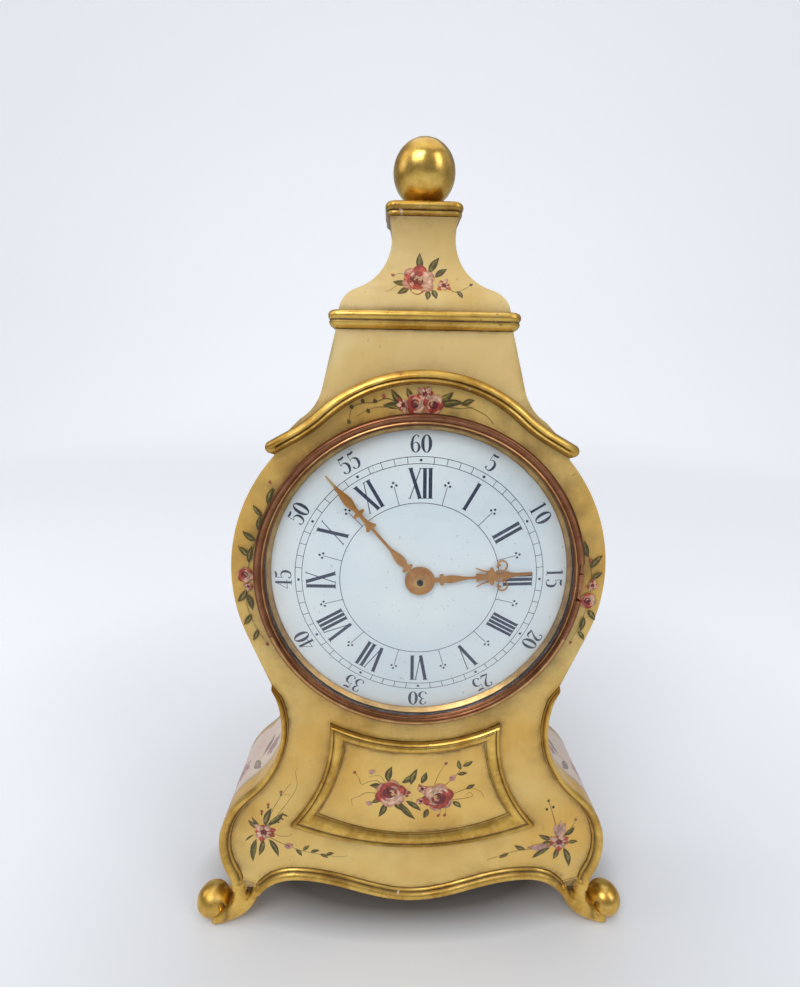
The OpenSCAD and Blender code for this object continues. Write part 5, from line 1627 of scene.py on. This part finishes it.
    def side_spray(self, p):
        """A side panel: the path holds depth and height."""
        p.twig([(20, -138), (22, -126), (19, -112), (22.5, -98), (20, -82), (22, -64)], 0.3, MAUVE)
        for x, z, r, turn in ((22, -118, 6.5, 0), (19.5, -98, 5, 40), (22, -76, 4, 80)):
            for k in range(7):
                way = turn_to(turn + 360 * k / 7)
                p.blade((x, z), np.array([x, z]) + way * r, r * 0.26, 0.3, ("c08f92", "d3aaa8"), 0.62)
            p.bud((x, z), 1.1, 40, ("b0706e", "cf9a94"))
        for start, end in (((21, -128), (12.5, -134)), ((22, -128), (31.5, -132)),
                           ((20, -108), (11, -104)), ((21.5, -105), (31, -101)),
                           ((21.5, -90), (30, -86)), ((20.5, -86), (12, -81)),
                           ((21.5, -68), (27.5, -61)), ((21.5, -67), (15, -60.5))):
            p.blade(start, end, 1.5, 0.6, ("a98f86", "b9a294"))


# Hands

# One side of each hand: distance from its centre and half width
MINUTE_SIDE = [(4.3, 1.25), (5.6, 0.95), (6.7, 0.85), (7, 1), (7.1, 1.8), (7.3, 2.35), (7.8, 2.62),
               (8.3, 2.35), (8.5, 1.75), (8.6, 1.02), (9.4, 1.2), (10.6, 1.7), (12.2, 1.98), (14.3, 1.76),
               (16.4, 1.12), (18.4, 0.68), (21, 0.58), (29.5, 0.6), (29.9, 0.75), (29.5, 1.7),
               (29.9, 2.45), (30.4, 2.5), (31.4, 1.75), (32.8, 1.1), (34.2, 0.85), (36.2, 0.7),
               (36.8, 0.8), (36.95, 1.7), (37.2, 2.5), (37.75, 2.85), (38.3, 2.5), (38.5, 1.6),
               (38.6, 0.95), (39.8, 0.88),
               (41.4, 1.25), (43.2, 1.78), (44.4, 1.92), (46.4, 1.66), (48.2, 1.25), (50, 0.88),
               (52.1, 0.6), (55.2, 0.4), (57.4, 0.33), (57.75, 0.2), (57.8, 0.05)]
HOUR_SIDE = [(6.05, 1.3), (6.8, 0.9), (7.9, 0.95), (8.2, 1.5), (8.4, 2.2), (9.15, 2.6), (9.85, 2.2),
             (10, 1.45), (10.6, 1.4), (12.6, 1.75), (14, 1.62), (16.3, 1.15), (19.8, 0.58), (22.6, 0.55),
             (23.3, 0.75), (23.4, 1.85), (25.6, 1.42), (28, 0.95), (28.3, 1.6), (27.2, 2.1), (25.5, 2.75),
             (23.5, 3.75), (23.15, 4.05), (23.35, 4.3), (25.5, 3.3), (28, 2.6), (28.9, 2.7),
             (29.2, 3.6), (29.8, 4), (30.5, 3.6), (30.8, 2.5), (31.4, 1.5), (32.4, 1.2), (33.6, 1.35),
             (35.2, 1.85), (36.2, 1.85), (37.8, 1.15), (39.6, 0.82), (41.8, 0.68), (46.45, 0.66),
             (46.6, 0.5)]


def hand_shape(side, hub, length, angle, face_y, hole, loops=()):
    """A flat hand with sloped edges that follows the dial's dome."""
    scale = length / side[-1][0]
    right = np.array([(w, r * scale if r > hub + 2 else r) for r, w in side])
    start = math.degrees(math.atan2(right[0][1], right[0][0]))
    hub_arc = arc((0, 0), float(np.hypot(*right[0])), 180 - start, 360 + start, 40)
    a = math.radians(angle)
    turn = np.array([[math.cos(a), -math.sin(a)], [math.sin(a), math.cos(a)]])
    outline = drop_repeats(np.vstack([hub_arc[:-1], right, (right * [-1, 1])[::-1]])) @ turn
    rim = np.vstack([outline, outline[:1]])

    def domed(flat):
        """The hand's face, bent like the dial."""
        return face_y + (flat ** 2).sum(1) / DOME_BEND

    def face(flat):
        return domed(flat) + 0.16 * (1 - np.clip(distance(flat, rim) / 0.32, 0, 1))

    def back(flat):
        return domed(flat) + 0.4

    shapes = [slab(outline, face, back, [arc((0, 0), hole, 0, 360, 28)[:-1]], 0.55)]
    for path in loops:
        path = smooth(path, 6)
        path[:, 1] *= scale
        path[:, :2] = path[:, :2] @ turn
        flat, _ = ribbon(path)
        left, middle, right = np.split(np.c_[flat[:, 0], domed(flat), flat[:, 1]], 3)
        edge, under = [0, 0.14, 0], [0, 0.38, 0]
        shapes.append(skin(np.stack([left + edge, middle, right + edge, right + under, left + under], 1)))
    return joined(*shapes)


class CLOCK_OT_hands(bpy.types.Operator):
    """The pierced hour and minute hands"""
    bl_idname = "clock.hands"
    bl_label = "Hands"

    def execute(self, context):
        sizes = context.scene.clock_sizes
        minute = hand_shape(MINUTE_SIDE, 4.1, sizes.minute_length, -41.5, -4.286, 1.35)
        hub = turned([(1.35, -4.29), (1.5, -4.6), (2.9, -4.62), (3.15, -4.5), (3.2, -4.25),
                      (1.35, -4.2)], 48)
        build("long_hand", joined(minute, hub), "long_hand", body="minute",
              stands_for=["minute_hand"], sharp=28)
        loops = []
        for s in (1, -1):
            loops.append([(s * 1.0, 31.4, 0.45), (s * 2.0, 31.9, 0.36), (s * 2.3, 33.0, 0.3)])
            turn = [(s * (4.35 - 2.2 * math.sin(a)), 34.2 - 2.05 * math.cos(a), 0.31)
                    for a in np.radians(np.linspace(60, 375, 16))]
            loops.append(turn + [(s * 4.6, 32.9, 0.36), (s * 4.9, 33.6, 0.42)])
        hour = hand_shape(HOUR_SIDE, 5.98, sizes.hour_length, 86.1, -3.386, 2.6, loops)
        step = turned([(2.6, -3.4), (2.6, -3.72), (4.35, -3.72), (4.6, -3.6), (4.7, -3.38), (2.6, -3.3)],
                      56)
        build("short_hand", joined(hour, step), "hand_bronze", body="hour",
              stands_for=["hour_hand"], sharp=28)
        nut = turned([(1.22, -4.36), (1.22, -5.02), (1.35, -5.1), (2.1, -5.1), (2.45, -4.95),
                      (2.55, -4.7), (2.55, -4.36)], 48)
        build("round_nut", nut, "nut_brass", body="minute", stands_for=["hand_nut"], sharp=40)
        return {"FINISHED"}


# The stage

# The camera's pitch, yaw and roll in degrees and its place in metres
CAMERA_ANGLES = (13.379, 1.145, 0.952)
CAMERA_AT = (-0.01259, -0.21579, 0.26715)
# Each lamp: its place, its width and height, and its share of the lamp power
LAMPS = {
    "front_lamp": ((-0.45, -0.8, 1.15), (0.7, 0.6), 1.2),
    "right_lamp": ((0.85, -0.65, 0.9), (0.45, 0.9), 0.5),
    "top_lamp": ((0.05, 0.15, 1.35), (1.1, 1.1), 0.5),
    "left_lamp": ((-0.95, 0.0, 0.85), (0.5, 1.0), 0.35),
}
LAMP_AIM = Vector((0.0, 0.0, 0.19))


def camera_turn(pitch, yaw, roll):
    """The camera's right, forward and up directions, from its three angles in degrees."""
    p, y, r = (math.radians(a) for a in (pitch, yaw, roll))
    tilt = Matrix(((1, 0, 0), (0, math.cos(p), -math.sin(p)), (0, math.sin(p), math.cos(p))))
    swing = Matrix(((math.cos(y), -math.sin(y), 0), (math.sin(y), math.cos(y), 0), (0, 0, 1)))
    lean = Matrix(((math.cos(r), 0, math.sin(r)), (0, 1, 0), (-math.sin(r), 0, math.cos(r))))
    return lean @ tilt @ swing


class CLOCK_OT_stage(bpy.types.Operator):
    """Pale floor and backdrop, soft lamps and the camera"""
    bl_idname = "clock.stage"
    bl_label = "Stage"

    def execute(self, context):
        look = context.scene.clock_stage
        scene = context.scene
        right, forward, up = camera_turn(*CAMERA_ANGLES)
        camera = bpy.data.objects.new("camera", bpy.data.cameras.new("camera"))
        scene.collection.objects.link(camera)
        camera.data.sensor_fit = "VERTICAL"
        camera.data.sensor_height = 36.0
        camera.data.lens = look.lens
        camera.data.clip_start = 0.01
        rows = [(right[i], up[i], -forward[i], CAMERA_AT[i]) for i in range(3)]
        camera.matrix_world = Matrix((*rows, (0, 0, 0, 1)))
        scene.camera = camera
        scene.view_settings.view_transform = "Standard"

        bend = arc((1.3, 0.5), 0.5, 270, 360, 24)
        run = np.vstack([[(-2.2, 0.0)], bend, [(1.8, 3.2)]])
        points, faces = skin([[(x, y, z) for y, z in run] for x in (-3.0, 3.0)], around=False)
        mesh = bpy.data.meshes.new("floor")
        mesh.from_pydata(points.tolist(), [], [list(f) for f in faces])
        mesh.shade_smooth()
        floor = bpy.data.objects.new("floor", mesh)
        scene.collection.objects.link(floor)
        mesh.materials.append(finish("floor"))

        world = bpy.data.worlds.new("room")
        world.use_nodes = True
        scene.world = world
        w = Nodes(world.node_tree)
        way = w.add("ShaderNodeTexCoord").outputs["Generated"]
        # From -1 at the nadir and 1 at the zenith to 0 and 1
        height = w.sum("MULTIPLY_ADD", w.add("ShaderNodeSeparateXYZ", Vector=way).outputs["Z"], 0.5)
        glow = [(at, (level, level * 1.01, level * 1.04))
                for at, level in ((0.5, 0.54), (0.62, 0.78), (0.8, 1.2))]
        glow = w.ramp(height, (0.0, (0.5, 0.5, 0.5)), *glow, (1.0, (1.1, 1.11, 1.14)))
        sky = w.tree.nodes["Background"].inputs
        w.put(sky["Color"], w.mix(w.seen(), glow, (2.22, 2.3, 2.4)))
        w.put(sky["Strength"], 0.37)

        for name, (at, size, share) in LAMPS.items():
            light = bpy.data.lights.new(name, "AREA")
            light.shape = "RECTANGLE"
            light.size, light.size_y = size
            light.energy = look.lamp_power * share
            thing = bpy.data.objects.new(name, light)
            scene.collection.objects.link(thing)
            thing.location = at
            thing.rotation_euler = (LAMP_AIM - Vector(at)).to_track_quat("-Z", "Y").to_euler()
        return {"FINISHED"}


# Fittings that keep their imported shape

# Where a finish isn't the one with the name of the slot
SLOT_FINISH = {"cartouche_paint": "panel_paint", "rehaut_brass": "cone_brass"}
# The minute arbor takes near-black steel so that it reads as the dark, open hole in the nut: painted
# shade.
NODE_FINISH = {"bezel_hinge_leaf": "copper_ring", "case_hinge_leaf": "copper_ring",
               "bezel_hinge_pin": "copper_ring", "minute_arbor": "hole_shade_steel"}


class CLOCK_OT_fittings(bpy.types.Operator):
    """Finishes for the boards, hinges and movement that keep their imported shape"""
    bl_idname = "clock.fittings"
    bl_label = "Back, hinges and movement"

    def execute(self, context):
        for row in frame["record"]["subparts"]:
            thing = frame["nodes"].get(row["node"])
            if thing is None or thing.hide_render:
                continue
            slot = row["material_slot"]
            kind = NODE_FINISH.get(row["node"], SLOT_FINISH.get(slot, slot))
            thing.data.materials.clear()
            thing.data.materials.append(finish(kind))
        return {"FINISHED"}


# Panel and registration

OPERATORS = [CLOCK_OT_stage, CLOCK_OT_front, CLOCK_OT_sides, CLOCK_OT_crown,
             CLOCK_OT_crown_mouldings, CLOCK_OT_mouldings, CLOCK_OT_cartouche, CLOCK_OT_feet,
             CLOCK_OT_dial, CLOCK_OT_ring, CLOCK_OT_print, CLOCK_OT_flowers, CLOCK_OT_hands,
             CLOCK_OT_fittings]


class CLOCK_PT_panel(bpy.types.Panel):
    """Lists the clock's pieces in the order in which they are made"""
    bl_label = "Waisted Table Clock"
    bl_idname = "CLOCK_PT_panel"
    bl_space_type = "VIEW_3D"
    bl_region_type = "UI"
    bl_category = "Clock"

    def draw(self, context):
        for group in ("clock_sizes", "clock_colours", "clock_stage"):
            values = getattr(context.scene, group)
            for key in values.__annotations__:
                self.layout.prop(values, key)
        for kind in OPERATORS:
            self.layout.operator(kind.bl_idname)


GROUPS = {"clock_sizes": ClockSizes, "clock_colours": ClockColours, "clock_stage": ClockStage}


def register():
    for kind in [*GROUPS.values(), *OPERATORS, CLOCK_PT_panel]:
        bpy.utils.register_class(kind)
    for name, kind in GROUPS.items():
        setattr(bpy.types.Scene, name, bpy.props.PointerProperty(type=kind))


def unregister():
    for name in GROUPS:
        delattr(bpy.types.Scene, name)
    for kind in [CLOCK_PT_panel, *OPERATORS[::-1], *list(GROUPS.values())[::-1]]:
        bpy.utils.unregister_class(kind)


def main():
    register()
    for kind in OPERATORS:
        group, name = kind.bl_idname.split(".")
        getattr(getattr(bpy.ops, group), name)()


if __name__ == "__main__":
    main()
